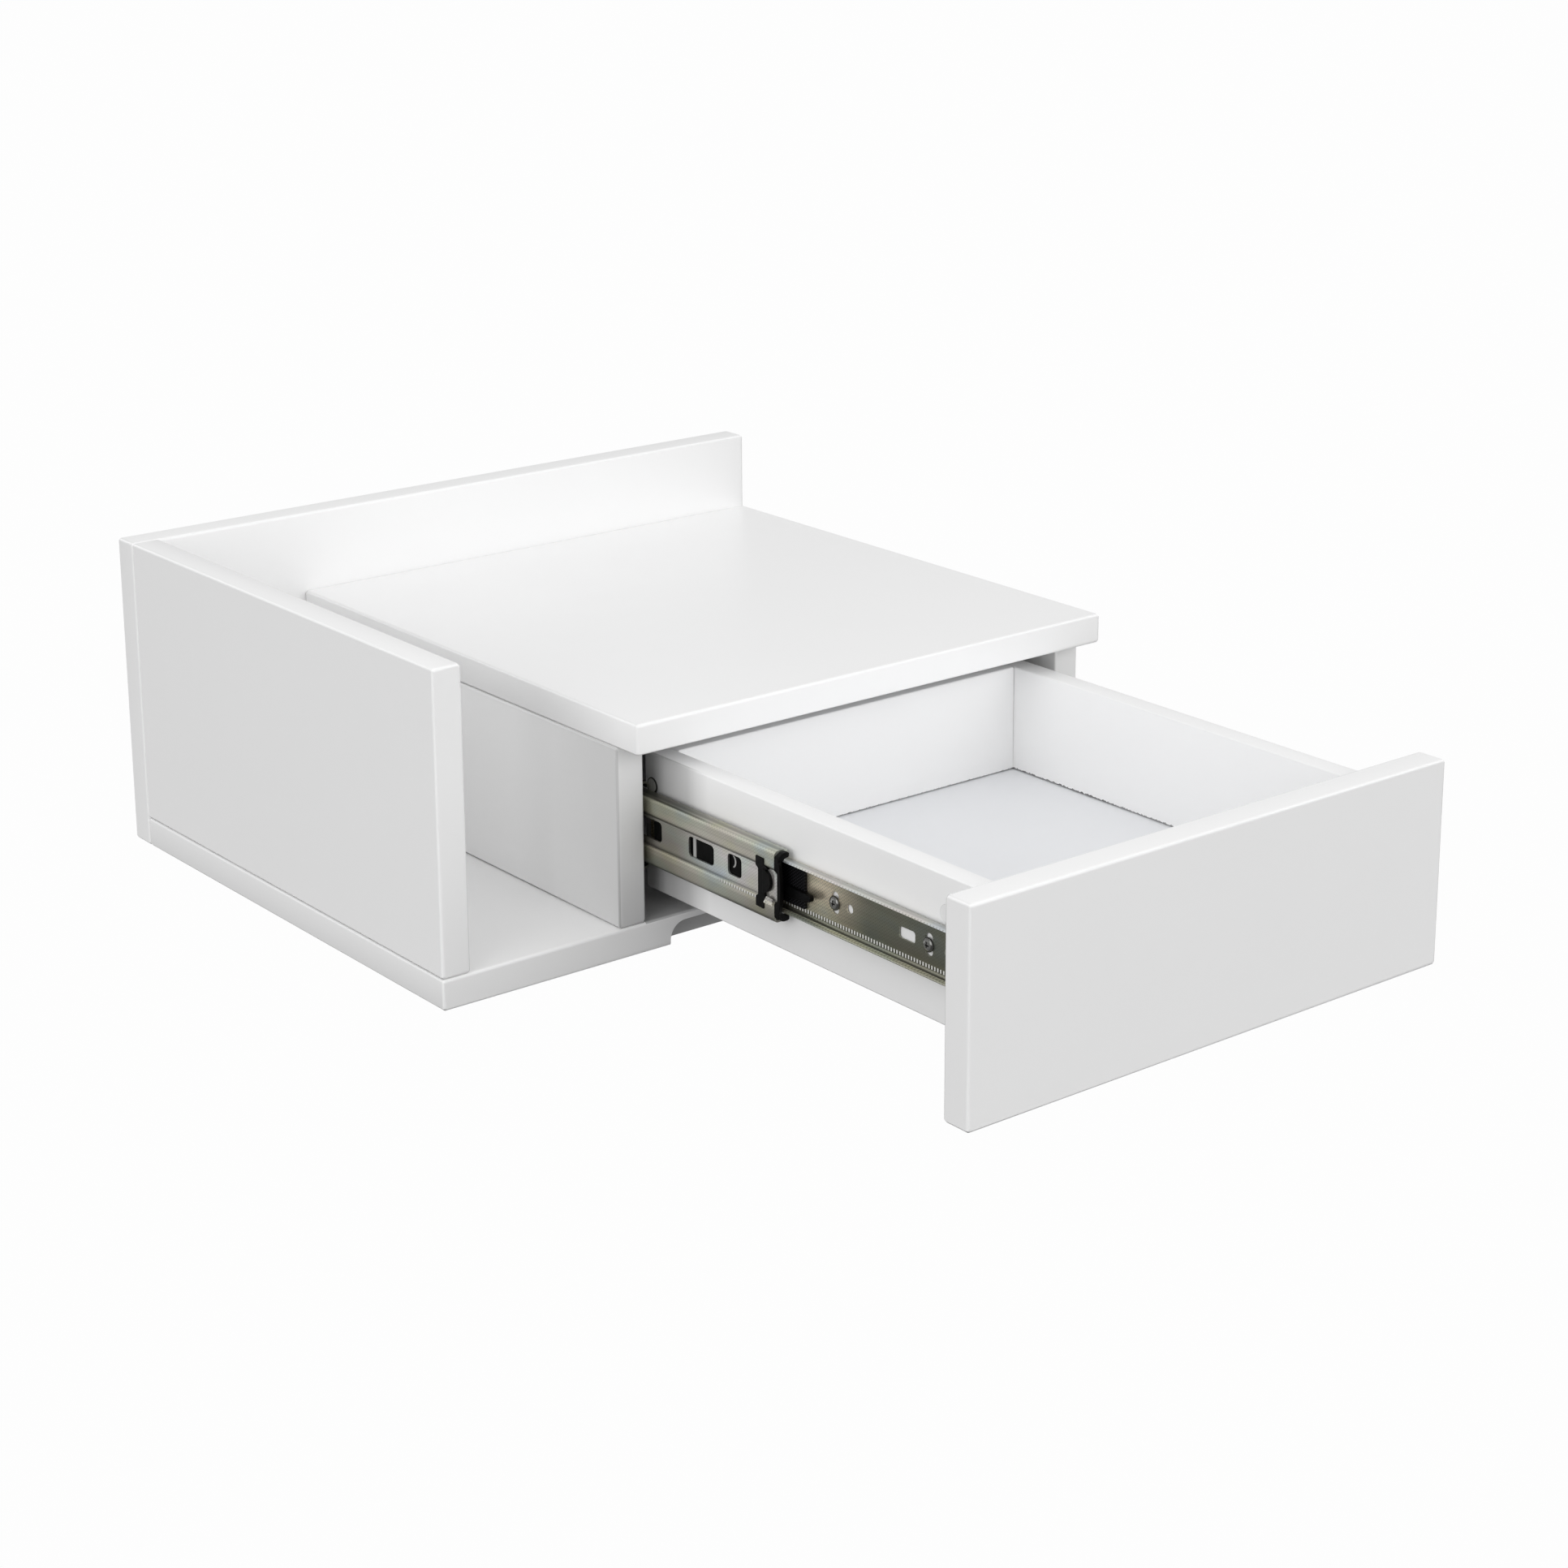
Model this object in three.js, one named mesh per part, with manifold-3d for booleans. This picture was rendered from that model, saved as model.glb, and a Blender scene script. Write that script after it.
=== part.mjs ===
// Floating nightstand: a wall-hung carcass with an open magazine niche on the left and
// one drawer on the right, drawn with the drawer fully pulled out.
// Millimetres. +X to the right, -Y out of the wall towards the room, +Z up.
// The origin is on the back panel's rear face, at the middle of its width and height.
import * as THREE from 'three';
import { mergeVertices } from 'three/addons/utils/BufferGeometryUtils.js';
import Module from 'manifold-3d';

const wasm = await Module();
wasm.setup();

// Carcass sizes
const overallWidth = 410;
const overallHeight = 170;
const board = 16;
const carcassDepth = 312;
const shelfDepth = 329;
const shelfTop = 126;
const nicheWidth = 87;
const edgeEase = 1.3;
const easeSteps = 2;

// Finger recess cut in the lower front edge of the bottom panel
const recessStartInset = 15;
const recessEndInset = 15;
const recessDepth = 10;
const recessHeight = 11.8;
const recessEndRadius = 9;
const recessEndSteps = 5;

// Drawer sizes
const frontThickness = 16;
const frontStandOff = 1;
const frontSideReveal = 0.3;
const frontBottomReveal = 0.3;
const frontTopGap = 3.7;
const drawerTravel = 240;
const drawerSideThickness = 12;
const drawerBackThickness = 12;
const drawerBoxHeight = 72;
const drawerBoxLift = 11;
const drawerBoxLength = 258;
const drawerBottomThickness = 4;
const drawerBottomLift = 10;
const drawerGrooveDepth = 5;
const grooveSlack = 0.4;
const softEase = 0.9;

// Ball slide: three nested steel members per side. Depths are counted from the panel
// that carries the outer member towards the drawer, heights from the slide's centre line.
const slideSpace = 13;
const slideHeightShare = 0.505;
const slideLength = 250;
const slideSetback = 2;
const steelGauge = 1.2;
const middleGauge = 1;
const ballRadius = 1.9;
const ballClearance = 0.1;
const outerBallDepth = 6;
const innerBallDepth = 7.4;
const middleHalfHeight = 17.65;
const middleFaceDepth = 2.2;
const middleWebRecess = 1;
const middleWebHalfHeight = 7.3;
const middleStepRun = 0.8;
const middleFlangeDepth = 10.6;
const sheetCornerRun = 1;
const middleLength = 224;
const middleFrontSetback = 20;
const drawerRailHalfHeight = 13.9;
const outerLipAngle = 15;
const innerLipAngle = 40;
const arcSteps = 4;

// Windows punched in the middle member's web: distance of the middle from the front end,
// length along the slide and height
const webWindows = [
  { fromFront: 102, length: 22, height: 13 },
  { fromFront: 57, length: 21, height: 10 },
  { fromFront: 30, length: 11.4, height: 13 },
];
const windowCorner = 2.2;

// Ball cages
const cageGauge = 0.5;
const outerCageWebDepth = 1.7;
const outerCageStripEnd = 7.5;
const innerCageWebDepth = 4.75;
const innerCageStripEnd = 8.9;
const outerCageLength = 100;
const innerCageLength = 84;
const cageInset = 14;
const ballsPerRow = 5;
const ballEndInset = 7;
const ballAround = 6;
const ballRings = 5;

// Plastic and rubber pieces of the slide
const capLength = 4.5;
const capFace = 0.2;
const capGrooveClearance = 0.5;
const capFrontBar = 2.3;
const clipRearFromFront = 13.5;
const clipPadLength = 6;
const clipBarLength = 6.5;
const clipHalfHeight = 12.8;
const clipFaceGap = 0.4;
const clipBulgeRadius = 5;
const clipBulgeRise = 1.6;
const clipWebClearance = 0.05;
const latchOverlap = 7;
const latchLength = 20;
const latchHalfHeight = 10.6;
const latchPlate = 1.6;
const latchCorner = 4;
const pivotInset = 4;
const pivotHeadRadius = 2.4;
const pivotHeadLength = 0.6;
const leverThickness = 2.6;
const leverHeight = 4.2;
const leverLength = 23.5;
const leverDrop = 2.2;
const leverEyeRadius = 3.4;
const leverTipTaperShare = 0.62;
const pivotRadius = 1.5;
const pivotClearance = 0.3;
const leverFaceGap = 0.4;
const bumperLength = 5;
const bumperInset = 0.5;
const bumperHalfHeight = 9;
const bumperDepth = 2.8;

// Screws and fittings
const screwHeadRadius = 3.5;
const flatScrewHeadRadius = 3.3;
const screwHeadThickness = 1.8;
const screwHeadCrown = 0.25;
const screwShankRadius = 1.6;
const holeClearance = 0.1;
const cabinetScrewLength = 12;
const drawerScrewLength = 9;
const cabinetScrewInsets = [35, 205];
const drawerScrewInsets = [39.5, 105.5];
const slotTall = 11;
const slotWide = 5;
const roundHoleInset = 95;
const frontHoleInset = 27;
const roundHoleRadius = 2.2;
const longSlotInset = 54.6;
const longSlotLength = 11;
const longSlotHeight = 5.6;
const crossLength = 4;
const crossWidth = 0.9;
const crossDepth = 0.9;

const confirmatHeadRadius = 5.4;
const confirmatHeadLength = 3;
const confirmatShankRadius = 3.2;
const confirmatLength = 44;
const confirmatFromRear = 6;
const confirmatHeightShare = 0.76;
const confirmatSink = 0.2;

const camRadius = 4.6;
const camDepth = 8;
const camFromFront = 31;
const camHeightShare = 0.745;
const camBoltRadius = 2.6;
const camBoltThread = 10;
const dowelRadius = 4;
const dowelLength = 24;
const dowelHeightShare = 0.3;
const fittingClearance = 0.08;
const fittingEndGap = 0.5;

const backScrewHeadRadius = 4.2;
const backScrewHeadLength = 3.2;
const backScrewShankRadius = 2.1;
const backScrewLength = 45;
const backScrewSink = 0.3;
const lowScrewHeight = 52;
const highScrewHeight = 138;
const bayScrewHeight = 88;
const shelfScrewFromRight = 120;
const bottomScrewFromLeft = 60;
const bottomScrewFromRight = 120;

// Keyhole hanger plates let into the back panel's rear face
const hangerWidth = 20;
const hangerHeight = 46;
const hangerPlate = 1.6;
const hangerFromEnd = 62;
const hangerTopInset = 22;
const hangerCorner = 3;
const hangerFit = 0.2;
const keyEntryRadius = 5;
const keyNeckRadius = 2.4;
const keyNeckRise = 9;
const keyDrop = 2;
const keyPocketDepth = 7;
const keyPocketMargin = 1.5;
const hangerScrewSpread = 36;
const hangerScrewRadius = 1.5;
const hangerScrewHead = 2.8;
const hangerScrewLength = 11;

const roundSides = 20;
const smallSides = 12;
const curveSteps = 6;

// Derived positions in the assembly frame: X from the left end, Y from the wall
// (negative towards the room), Z from the underside.
const shelfUnderside = shelfTop - board;
const dividerLeft = board + nicheWidth;
const bayLeft = dividerLeft + board;
const bayRight = overallWidth - board;
const bayHeight = shelfUnderside - board;
const drawerFrontLeft = dividerLeft + frontSideReveal;
const drawerFrontWidth = overallWidth - dividerLeft - frontSideReveal - frontSideReveal;
const drawerFrontHeight = shelfUnderside - frontTopGap - frontBottomReveal;
const drawerFrontRear = -(carcassDepth + frontStandOff + drawerTravel);
const boxLeft = bayLeft + slideSpace;
const boxRight = bayRight - slideSpace;
const boxBottom = board + drawerBoxLift;
const boxRear = drawerFrontRear + drawerBoxLength;
const slideCentre = board + bayHeight * slideHeightShare;
const cabinetRailFront = -(carcassDepth - slideSetback);
const drawerRailFront = drawerFrontRear + slideSetback;
const middleClosedFront = -(carcassDepth - middleFrontSetback);
const middleRailFront = middleClosedFront - drawerTravel / 2;
const ballReach = ballRadius + ballClearance;
const outerBallHeight = middleHalfHeight + ballReach;
const middleInnerHeight = middleHalfHeight - middleGauge;
const innerBallHeight = middleInnerHeight - ballReach;
const cabinetHalfHeight = outerBallHeight + ballReach + steelGauge;
const drawerWebInner = slideSpace - steelGauge;
const flatScrewHeadLength = steelGauge + screwShankRadius / 2;

// Colours
const lacquer = { color: 0xf1f2f2, roughness: 0.38, metalness: 0 };
const drawerLacquer = { color: 0xeff0f0, roughness: 0.42, metalness: 0 };
const bottomSheetFinish = { color: 0xe6e7ea, roughness: 0.5, metalness: 0 };
const yellowZinc = { color: 0xb9b49c, roughness: 0.34, metalness: 0.85 };
const darkZinc = { color: 0x77746a, roughness: 0.3, metalness: 0.9 };
const brightZinc = { color: 0xc9cacb, roughness: 0.25, metalness: 0.9 };
const blackPlastic = { color: 0x141414, roughness: 0.5, metalness: 0 };
const blackRubber = { color: 0x1a1a1a, roughness: 0.8, metalness: 0 };
const whitePlastic = { color: 0xe9ebee, roughness: 0.4, metalness: 0 };
const beech = { color: 0xcfa877, roughness: 0.7, metalness: 0 };

const assembly = new THREE.Group();
assembly.name = 'nightstand_assembly';
assembly.position.set(-overallWidth / 2, 0, -overallHeight / 2);

function addPiece(name, geometry, finish) {
  const mesh = new THREE.Mesh(geometry, new THREE.MeshStandardMaterial(finish));
  mesh.name = name;
  assembly.add(mesh);
  return mesh;
}

// A closed body for cutting, welded from any three.js geometry
function toSolid(geometry) {
  const bare = geometry.clone();
  for (const extra of ['normal', 'uv']) {
    bare.deleteAttribute(extra);
  }
  const welded = mergeVertices(bare);
  return new wasm.Manifold(new wasm.Mesh({
    numProp: 3,
    vertProperties: new Float32Array(welded.attributes.position.array),
    triVerts: new Uint32Array(welded.index.array),
  }));
}

function fromSolid(body) {
  const mesh = body.getMesh();
  const geometry = new THREE.BufferGeometry();
  geometry.setAttribute('position', new THREE.BufferAttribute(mesh.vertProperties, 3));
  geometry.setIndex(Array.from(mesh.triVerts));
  const faceted = geometry.toNonIndexed();
  faceted.computeVertexNormals();
  return faceted;
}

function cut(geometry, cutters) {
  let body = toSolid(geometry);
  for (const cutter of cutters) {
    body = body.subtract(toSolid(cutter));
  }
  return fromSolid(body);
}

function join(geometries) {
  let body = toSolid(geometries[0]);
  for (const other of geometries.slice(1)) {
    body = body.add(toSolid(other));
  }
  return fromSolid(body);
}

// A plain block between two corners
function block(x0, x1, y0, y1, z0, z1) {
  const geometry = new THREE.BoxGeometry(Math.abs(x1 - x0), Math.abs(y1 - y0), Math.abs(z1 - z0));
  geometry.translate((x0 + x1) / 2, (y0 + y1) / 2, (z0 + z1) / 2);
  return geometry;
}

// A board between two corners with every outer edge softly eased. It is drawn as a rounded
// outline in X and Z, pushed through in Y, with a rolled edge on both faces.
function easedBoard(x0, x1, y0, y1, z0, z1, ease) {
  const width = x1 - x0;
  const height = z1 - z0;
  const depth = Math.abs(y1 - y0);
  const outline = roundedOutline(width - ease * 2, height - ease * 2, ease);
  const geometry = new THREE.ExtrudeGeometry(outline, {
    depth: depth - ease * 2,
    bevelEnabled: true,
    bevelThickness: ease,
    bevelSize: ease,
    bevelSegments: easeSteps,
    curveSegments: 1,
  });
  geometry.rotateX(Math.PI / 2);
  geometry.translate((x0 + x1) / 2, Math.max(y0, y1) - ease, (z0 + z1) / 2);
  return geometry;
}

// A rectangle centred on zero with cut corners
function roundedOutline(width, height, corner) {
  const halfWidth = width / 2;
  const halfHeight = height / 2;
  const c = Math.min(corner, halfWidth, halfHeight) / 2;
  const outline = new THREE.Shape();
  outline.moveTo(-halfWidth + c, -halfHeight);
  outline.lineTo(halfWidth - c, -halfHeight);
  outline.lineTo(halfWidth, -halfHeight + c);
  outline.lineTo(halfWidth, halfHeight - c);
  outline.lineTo(halfWidth - c, halfHeight);
  outline.lineTo(-halfWidth + c, halfHeight);
  outline.lineTo(-halfWidth, halfHeight - c);
  outline.lineTo(-halfWidth, -halfHeight + c);
  outline.closePath();
  return outline;
}

// A rounded rectangle with true arcs at its corners
function arcRectangle(width, height, corner) {
  const halfWidth = width / 2;
  const halfHeight = height / 2;
  const shape = new THREE.Shape();
  const quarter = Math.PI / 2;
  shape.moveTo(-halfWidth + corner, -halfHeight);
  shape.absarc(halfWidth - corner, -halfHeight + corner, corner, -quarter, 0, false);
  shape.absarc(halfWidth - corner, halfHeight - corner, corner, 0, quarter, false);
  shape.absarc(-halfWidth + corner, halfHeight - corner, corner, quarter, Math.PI, false);
  shape.absarc(-halfWidth + corner, -halfHeight + corner, corner, Math.PI, Math.PI + quarter, false);
  return shape;
}

// A round bar between two X positions
function barX(x0, x1, y, z, radius, sides) {
  const geometry = new THREE.CylinderGeometry(radius, radius, Math.abs(x1 - x0), sides);
  geometry.rotateZ(Math.PI / 2);
  geometry.translate((x0 + x1) / 2, y, z);
  return geometry;
}

// A round bar between two Y positions
function barY(x, y0, y1, z, radius, sides) {
  const geometry = new THREE.CylinderGeometry(radius, radius, Math.abs(y1 - y0), sides);
  geometry.translate(x, (y0 + y1) / 2, z);
  return geometry;
}

// A turned piece from a list of [radius, distance] pairs, listed from its far end to its
// near end, that starts and ends on the axis
function turned(profile, sides) {
  const points = profile.map(([radius, along]) => new THREE.Vector2(radius, along));
  return new THREE.LatheGeometry(points.reverse(), sides);
}

// The closed outline of a bent sheet: a centre line given half its gauge on both sides
function sheetOutline(centreLine, gauge) {
  const left = [];
  const right = [];
  const last = centreLine.length - 1;
  centreLine.forEach((point, index) => {
    const before = centreLine[Math.max(index - 1, 0)];
    const after = centreLine[Math.min(index + 1, last)];
    const inDirection = index > 0 ? point.clone().sub(before).normalize() : null;
    const outDirection = index < last ? after.clone().sub(point).normalize() : null;
    const first = inDirection || outDirection;
    const second = outDirection || inDirection;
    const normal = new THREE.Vector2(-first.y - second.y, first.x + second.x).normalize();
    const spread = normal.dot(new THREE.Vector2(-first.y, first.x));
    const offset = normal.multiplyScalar(gauge / 2 / spread);
    left.push(point.clone().add(offset));
    right.push(point.clone().sub(offset));
  });
  return new THREE.Shape(left.concat(right.reverse()));
}

// Points on an arc in the slide's section, angles in degrees
function arcPoints(centreU, centreZ, radius, fromAngle, toAngle, steps) {
  return Array.from({ length: steps + 1 }, (_, step) => {
    const angle = THREE.MathUtils.degToRad(fromAngle + (toAngle - fromAngle) * step / steps);
    return new THREE.Vector2(centreU + radius * Math.cos(angle), centreZ + radius * Math.sin(angle));
  });
}

// The upper half of a section followed by its mirror image below
function mirroredLine(upperHalf) {
  const lowerHalf = upperHalf.map((point) => new THREE.Vector2(point.x, -point.y)).reverse();
  return upperHalf.concat(lowerHalf);
}

// Pushes a section along Y. Depth in the section is counted from the panel face at
// `faceX` in the direction `side` (1 for the left slide, -1 for the right one).
function sectionAlongY(slide, outline, rearY, length) {
  const turnedShape = new THREE.Shape(outline.getPoints().map(
    (point) => new THREE.Vector2(point.x * slide.side, point.y),
  ));
  const geometry = new THREE.ExtrudeGeometry(turnedShape, { depth: length, bevelEnabled: false });
  geometry.rotateX(Math.PI / 2);
  geometry.translate(slide.faceX, rearY, slideCentre);
  return geometry;
}

// A flat outline in Y and Z, given its thickness in depth from `depth0` to `depth1`
function plateAcross(slide, outline, y, z, depth0, depth1) {
  const geometry = new THREE.ExtrudeGeometry(outline, {
    depth: depth1 - depth0,
    bevelEnabled: false,
    curveSegments: arcSteps,
  });
  geometry.rotateX(Math.PI / 2);
  geometry.rotateZ(Math.PI / 2);
  const start = slide.side > 0 ? depth0 : -depth1;
  geometry.translate(slide.faceX + start, y, slideCentre + z);
  return geometry;
}

function slideBlock(slide, depth0, depth1, y0, y1, z0, z1) {
  const a = slide.faceX + slide.side * depth0;
  const b = slide.faceX + slide.side * depth1;
  return block(Math.min(a, b), Math.max(a, b), y0, y1, slideCentre + z0, slideCentre + z1);
}

function slideBar(slide, depth0, depth1, y, z, radius, sides) {
  const a = slide.faceX + slide.side * depth0;
  const b = slide.faceX + slide.side * depth1;
  return barX(a, b, y, slideCentre + z, radius, sides);
}

// A turned piece laid along X. Its far end points towards the drawer when `direction` is 1
// and into the carcass panel when it is -1.
function turnedAcross(slide, profile, depth, y, z, direction, sides) {
  const geometry = turned(profile, sides);
  geometry.rotateZ(-Math.PI / 2 * slide.side * direction);
  geometry.translate(slide.faceX + slide.side * depth, y, z);
  return geometry;
}

const slides = [
  { label: 'left', side: 1, faceX: bayLeft },
  { label: 'right', side: -1, faceX: bayRight },
];

// A turned piece laid along Y with its far end pointing towards the room
function turnedForward(profile, x, y, z, sides) {
  const geometry = turned(profile, sides);
  geometry.rotateX(-Math.PI);
  geometry.translate(x, y, z);
  return geometry;
}

// A flat head that narrows into a pointed shank, as pairs for `turned`
function flatScrewProfile(headRadius, headLength, shankRadius, length, grow) {
  return [
    [0, length + grow],
    [shankRadius / 2 + grow, length + grow],
    [shankRadius + grow, length - shankRadius * 2 + grow],
    [shankRadius + grow, headLength + grow],
    [headRadius + grow, 0],
    [headRadius + grow, -grow * 2],
    [0, -grow * 2],
  ];
}

// Fixings through the back panel into the rear edges of the other panels
const backScrews = [
  { name: 'back_screw_left_side_low', x: board / 2, z: lowScrewHeight },
  { name: 'back_screw_left_side_high', x: board / 2, z: highScrewHeight },
  { name: 'back_screw_divider', x: dividerLeft + board / 2, z: bayScrewHeight },
  { name: 'back_screw_right_side', x: overallWidth - board / 2, z: bayScrewHeight },
  { name: 'back_screw_bottom_left', x: bottomScrewFromLeft, z: board / 2 },
  { name: 'back_screw_bottom_right', x: overallWidth - bottomScrewFromRight, z: board / 2 },
  { name: 'back_screw_shelf', x: overallWidth - shelfScrewFromRight, z: shelfTop - board / 2 },
];

function backScrewShape(screw, grow) {
  const profile = flatScrewProfile(
    backScrewHeadRadius, backScrewHeadLength, backScrewShankRadius, backScrewLength, grow,
  );
  return turnedForward(profile, screw.x, -backScrewSink, screw.z, smallSides);
}

// The bore runs on past the rear face so that the sunk head stays in the open
function backScrewHole(screw) {
  const mouth = barY(
    screw.x, backScrewSink, -backScrewSink, screw.z,
    backScrewHeadRadius + holeClearance, smallSides,
  );
  return [backScrewShape(screw, holeClearance), mouth];
}

function holesFor(names) {
  return backScrews.filter((screw) => names.includes(screw.name)).flatMap(backScrewHole);
}

// Keyhole hangers: a flush plate with a round entry and a narrow neck above it
const hangers = [
  { label: 'left', x: hangerFromEnd },
  { label: 'right', x: overallWidth - hangerFromEnd },
];
const hangerCentreZ = overallHeight - hangerTopInset - hangerHeight / 2;
const keyEntryZ = hangerCentreZ - keyNeckRise / 2 - keyDrop;
const hangerScrewHeights = [
  { place: 'lower', z: hangerCentreZ - hangerScrewSpread / 2 },
  { place: 'upper', z: hangerCentreZ + hangerScrewSpread / 2 },
];

// The keyhole outline, widened by `margin`
function keyholeOutline(margin) {
  const entry = keyEntryRadius + margin;
  const neck = keyNeckRadius + margin;
  const meet = Math.asin(neck / entry);
  const quarter = Math.PI / 2;
  const shape = new THREE.Shape();
  shape.absarc(0, 0, entry, quarter + meet, quarter - meet + Math.PI * 2, false);
  shape.absarc(0, keyNeckRise, neck, 0, Math.PI, false);
  shape.closePath();
  return shape;
}

// A flat outline in X and Z pushed forward from the rear face
function plateFromRear(outline, x, z, fromDepth, toDepth) {
  const geometry = new THREE.ExtrudeGeometry(outline, {
    depth: toDepth - fromDepth,
    bevelEnabled: false,
    curveSegments: curveSteps,
  });
  geometry.rotateX(Math.PI / 2);
  geometry.translate(x, -fromDepth, z);
  return geometry;
}

function hangerScrewShape(hanger, z, grow) {
  const profile = flatScrewProfile(
    hangerScrewHead, hangerPlate, hangerScrewRadius, hangerScrewLength, grow,
  );
  return turnedForward(profile, hanger.x, 0, z, smallSides);
}

function hangerScrewHoles(hanger) {
  return hangerScrewHeights.map(({ z }) => hangerScrewShape(hanger, z, holeClearance));
}

function hangerPocket(hanger) {
  const width = hangerWidth + hangerFit * 2;
  const height = hangerHeight + hangerFit * 2;
  const seat = arcRectangle(width, height, hangerCorner + hangerFit);
  const reach = hangerPlate + keyPocketDepth;
  return [
    plateFromRear(seat, hanger.x, hangerCentreZ, -hangerFit, hangerPlate),
    plateFromRear(keyholeOutline(keyPocketMargin), hanger.x, keyEntryZ, 0, reach),
    ...hangerScrewHoles(hanger),
  ];
}

addPiece('back_panel', cut(
  easedBoard(0, overallWidth, -board, 0, 0, overallHeight, edgeEase),
  backScrews.flatMap(backScrewHole).concat(hangers.flatMap(hangerPocket)),
), lacquer);

for (const hanger of hangers) {
  const plate = plateFromRear(
    arcRectangle(hangerWidth, hangerHeight, hangerCorner), hanger.x, hangerCentreZ, 0, hangerPlate,
  );
  const keyhole = plateFromRear(
    keyholeOutline(0), hanger.x, keyEntryZ, -hangerPlate, hangerPlate * 2,
  );
  addPiece(
    `hanger_plate_${hanger.label}`, cut(plate, [keyhole, ...hangerScrewHoles(hanger)]), brightZinc,
  );
  for (const { place, z } of hangerScrewHeights) {
    addPiece(`hanger_screw_${hanger.label}_${place}`, hangerScrewShape(hanger, z, 0), darkZinc);
  }
}

for (const screw of backScrews) {
  addPiece(screw.name, backScrewShape(screw, 0), darkZinc);
}

addPiece('left_side_panel', cut(
  easedBoard(0, board, -carcassDepth, -board, board, overallHeight, edgeEase),
  holesFor(['back_screw_left_side_low', 'back_screw_left_side_high']),
), lacquer);

// Finger recess: the part common to a slot seen from the front and one seen from below
const recessLeft = bayLeft + recessStartInset;
const recessWidth = bayRight - recessEndInset - recessLeft;
const recessMiddle = recessLeft + recessWidth / 2;

function recessSpace() {
  const frontView = new THREE.ExtrudeGeometry(
    arcRectangle(recessWidth, recessHeight * 2, recessEndRadius),
    { depth: recessDepth * 2, bevelEnabled: false, curveSegments: recessEndSteps },
  );
  frontView.rotateX(Math.PI / 2);
  frontView.translate(recessMiddle, recessDepth - carcassDepth, 0);
  const planView = new THREE.ExtrudeGeometry(
    arcRectangle(recessWidth, recessDepth * 2, recessEndRadius),
    { depth: recessHeight * 2, bevelEnabled: false, curveSegments: recessEndSteps },
  );
  planView.translate(recessMiddle, -carcassDepth, -recessHeight);
  return fromSolid(toSolid(frontView).intersect(toSolid(planView)));
}

addPiece('bottom_panel', cut(
  easedBoard(0, overallWidth, -carcassDepth, -board, 0, board, edgeEase),
  [recessSpace(), ...holesFor(['back_screw_bottom_left', 'back_screw_bottom_right'])],
), lacquer);

// Slide screws into the carcass: flat heads sunk in the outer member's web
const cabinetScrewYs = cabinetScrewInsets.map((inset) => cabinetRailFront + inset);

function cabinetScrewShape(slide, y, grow) {
  const profile = flatScrewProfile(
    flatScrewHeadRadius, flatScrewHeadLength, screwShankRadius, cabinetScrewLength, grow,
  );
  const depth = steelGauge - fittingClearance;
  return turnedAcross(slide, profile, depth, y, slideCentre, -1, smallSides);
}

function cabinetScrewHoles(slide) {
  return cabinetScrewYs.map((y) => cabinetScrewShape(slide, y, holeClearance));
}

addPiece('divider_panel', cut(
  easedBoard(dividerLeft, bayLeft, -carcassDepth, -board, board, shelfUnderside, edgeEase),
  [...holesFor(['back_screw_divider']), ...cabinetScrewHoles(slides[0])],
), lacquer);

addPiece('right_side_panel', cut(
  easedBoard(bayRight, overallWidth, -carcassDepth, -board, board, shelfUnderside, edgeEase),
  [...holesFor(['back_screw_right_side']), ...cabinetScrewHoles(slides[1])],
), lacquer);

addPiece('top_shelf', cut(
  easedBoard(dividerLeft, overallWidth, -shelfDepth, -board, shelfUnderside, shelfTop, edgeEase),
  holesFor(['back_screw_shelf']),
), lacquer);

// Drawer box. The boards stand on edge; the thin bottom slides in a groove all round.
const boxTop = boxBottom + drawerBoxHeight;
const grooveLow = boxBottom + drawerBottomLift;
const grooveHigh = grooveLow + drawerBottomThickness + grooveSlack * 2;
const innerLeft = boxLeft + drawerSideThickness;
const innerRight = boxRight - drawerSideThickness;
const backFace = boxRear - drawerBackThickness;
const confirmatZ = boxBottom + drawerBoxHeight * confirmatHeightShare;
const camZ = boxBottom + drawerBoxHeight * camHeightShare;
const dowelZ = boxBottom + drawerBoxHeight * dowelHeightShare;
const camY = drawerFrontRear + camFromFront;
const drawerScrewYs = drawerScrewInsets.map((inset) => drawerRailFront + inset);
const boxSides = [
  { label: 'left', side: 1, faceX: boxLeft, slide: slides[0] },
  { label: 'right', side: -1, faceX: boxRight, slide: slides[1] },
];

function confirmatShape(boxSide, grow) {
  const profile = [
    [0, confirmatLength + grow],
    [confirmatShankRadius / 2 + grow, confirmatLength + grow],
    [confirmatShankRadius + grow, confirmatLength - confirmatShankRadius + grow],
    [confirmatShankRadius + grow, confirmatHeadLength + grow],
    [confirmatHeadRadius + grow, confirmatHeadLength + grow],
    [confirmatHeadRadius + grow, -grow * 2],
    [0, -grow * 2],
  ];
  const y = boxRear - confirmatFromRear;
  return turnedAcross(boxSide, profile, confirmatSink, y, confirmatZ, 1, smallSides);
}

function confirmatHole(boxSide) {
  const mouth = turnedAcross(boxSide, [
    [0, confirmatSink * 2],
    [confirmatHeadRadius + holeClearance, confirmatSink * 2],
    [confirmatHeadRadius + holeClearance, -confirmatSink],
    [0, -confirmatSink],
  ], 0, boxRear - confirmatFromRear, confirmatZ, 1, smallSides);
  return [confirmatShape(boxSide, holeClearance), mouth];
}

function camShape(boxSide, grow) {
  const profile = [
    [0, camDepth + grow],
    [camRadius + grow, camDepth + grow],
    [camRadius + grow, -grow * 2],
    [0, -grow * 2],
  ];
  return turnedAcross(boxSide, profile, 0, camY, camZ, 1, roundSides);
}

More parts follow.
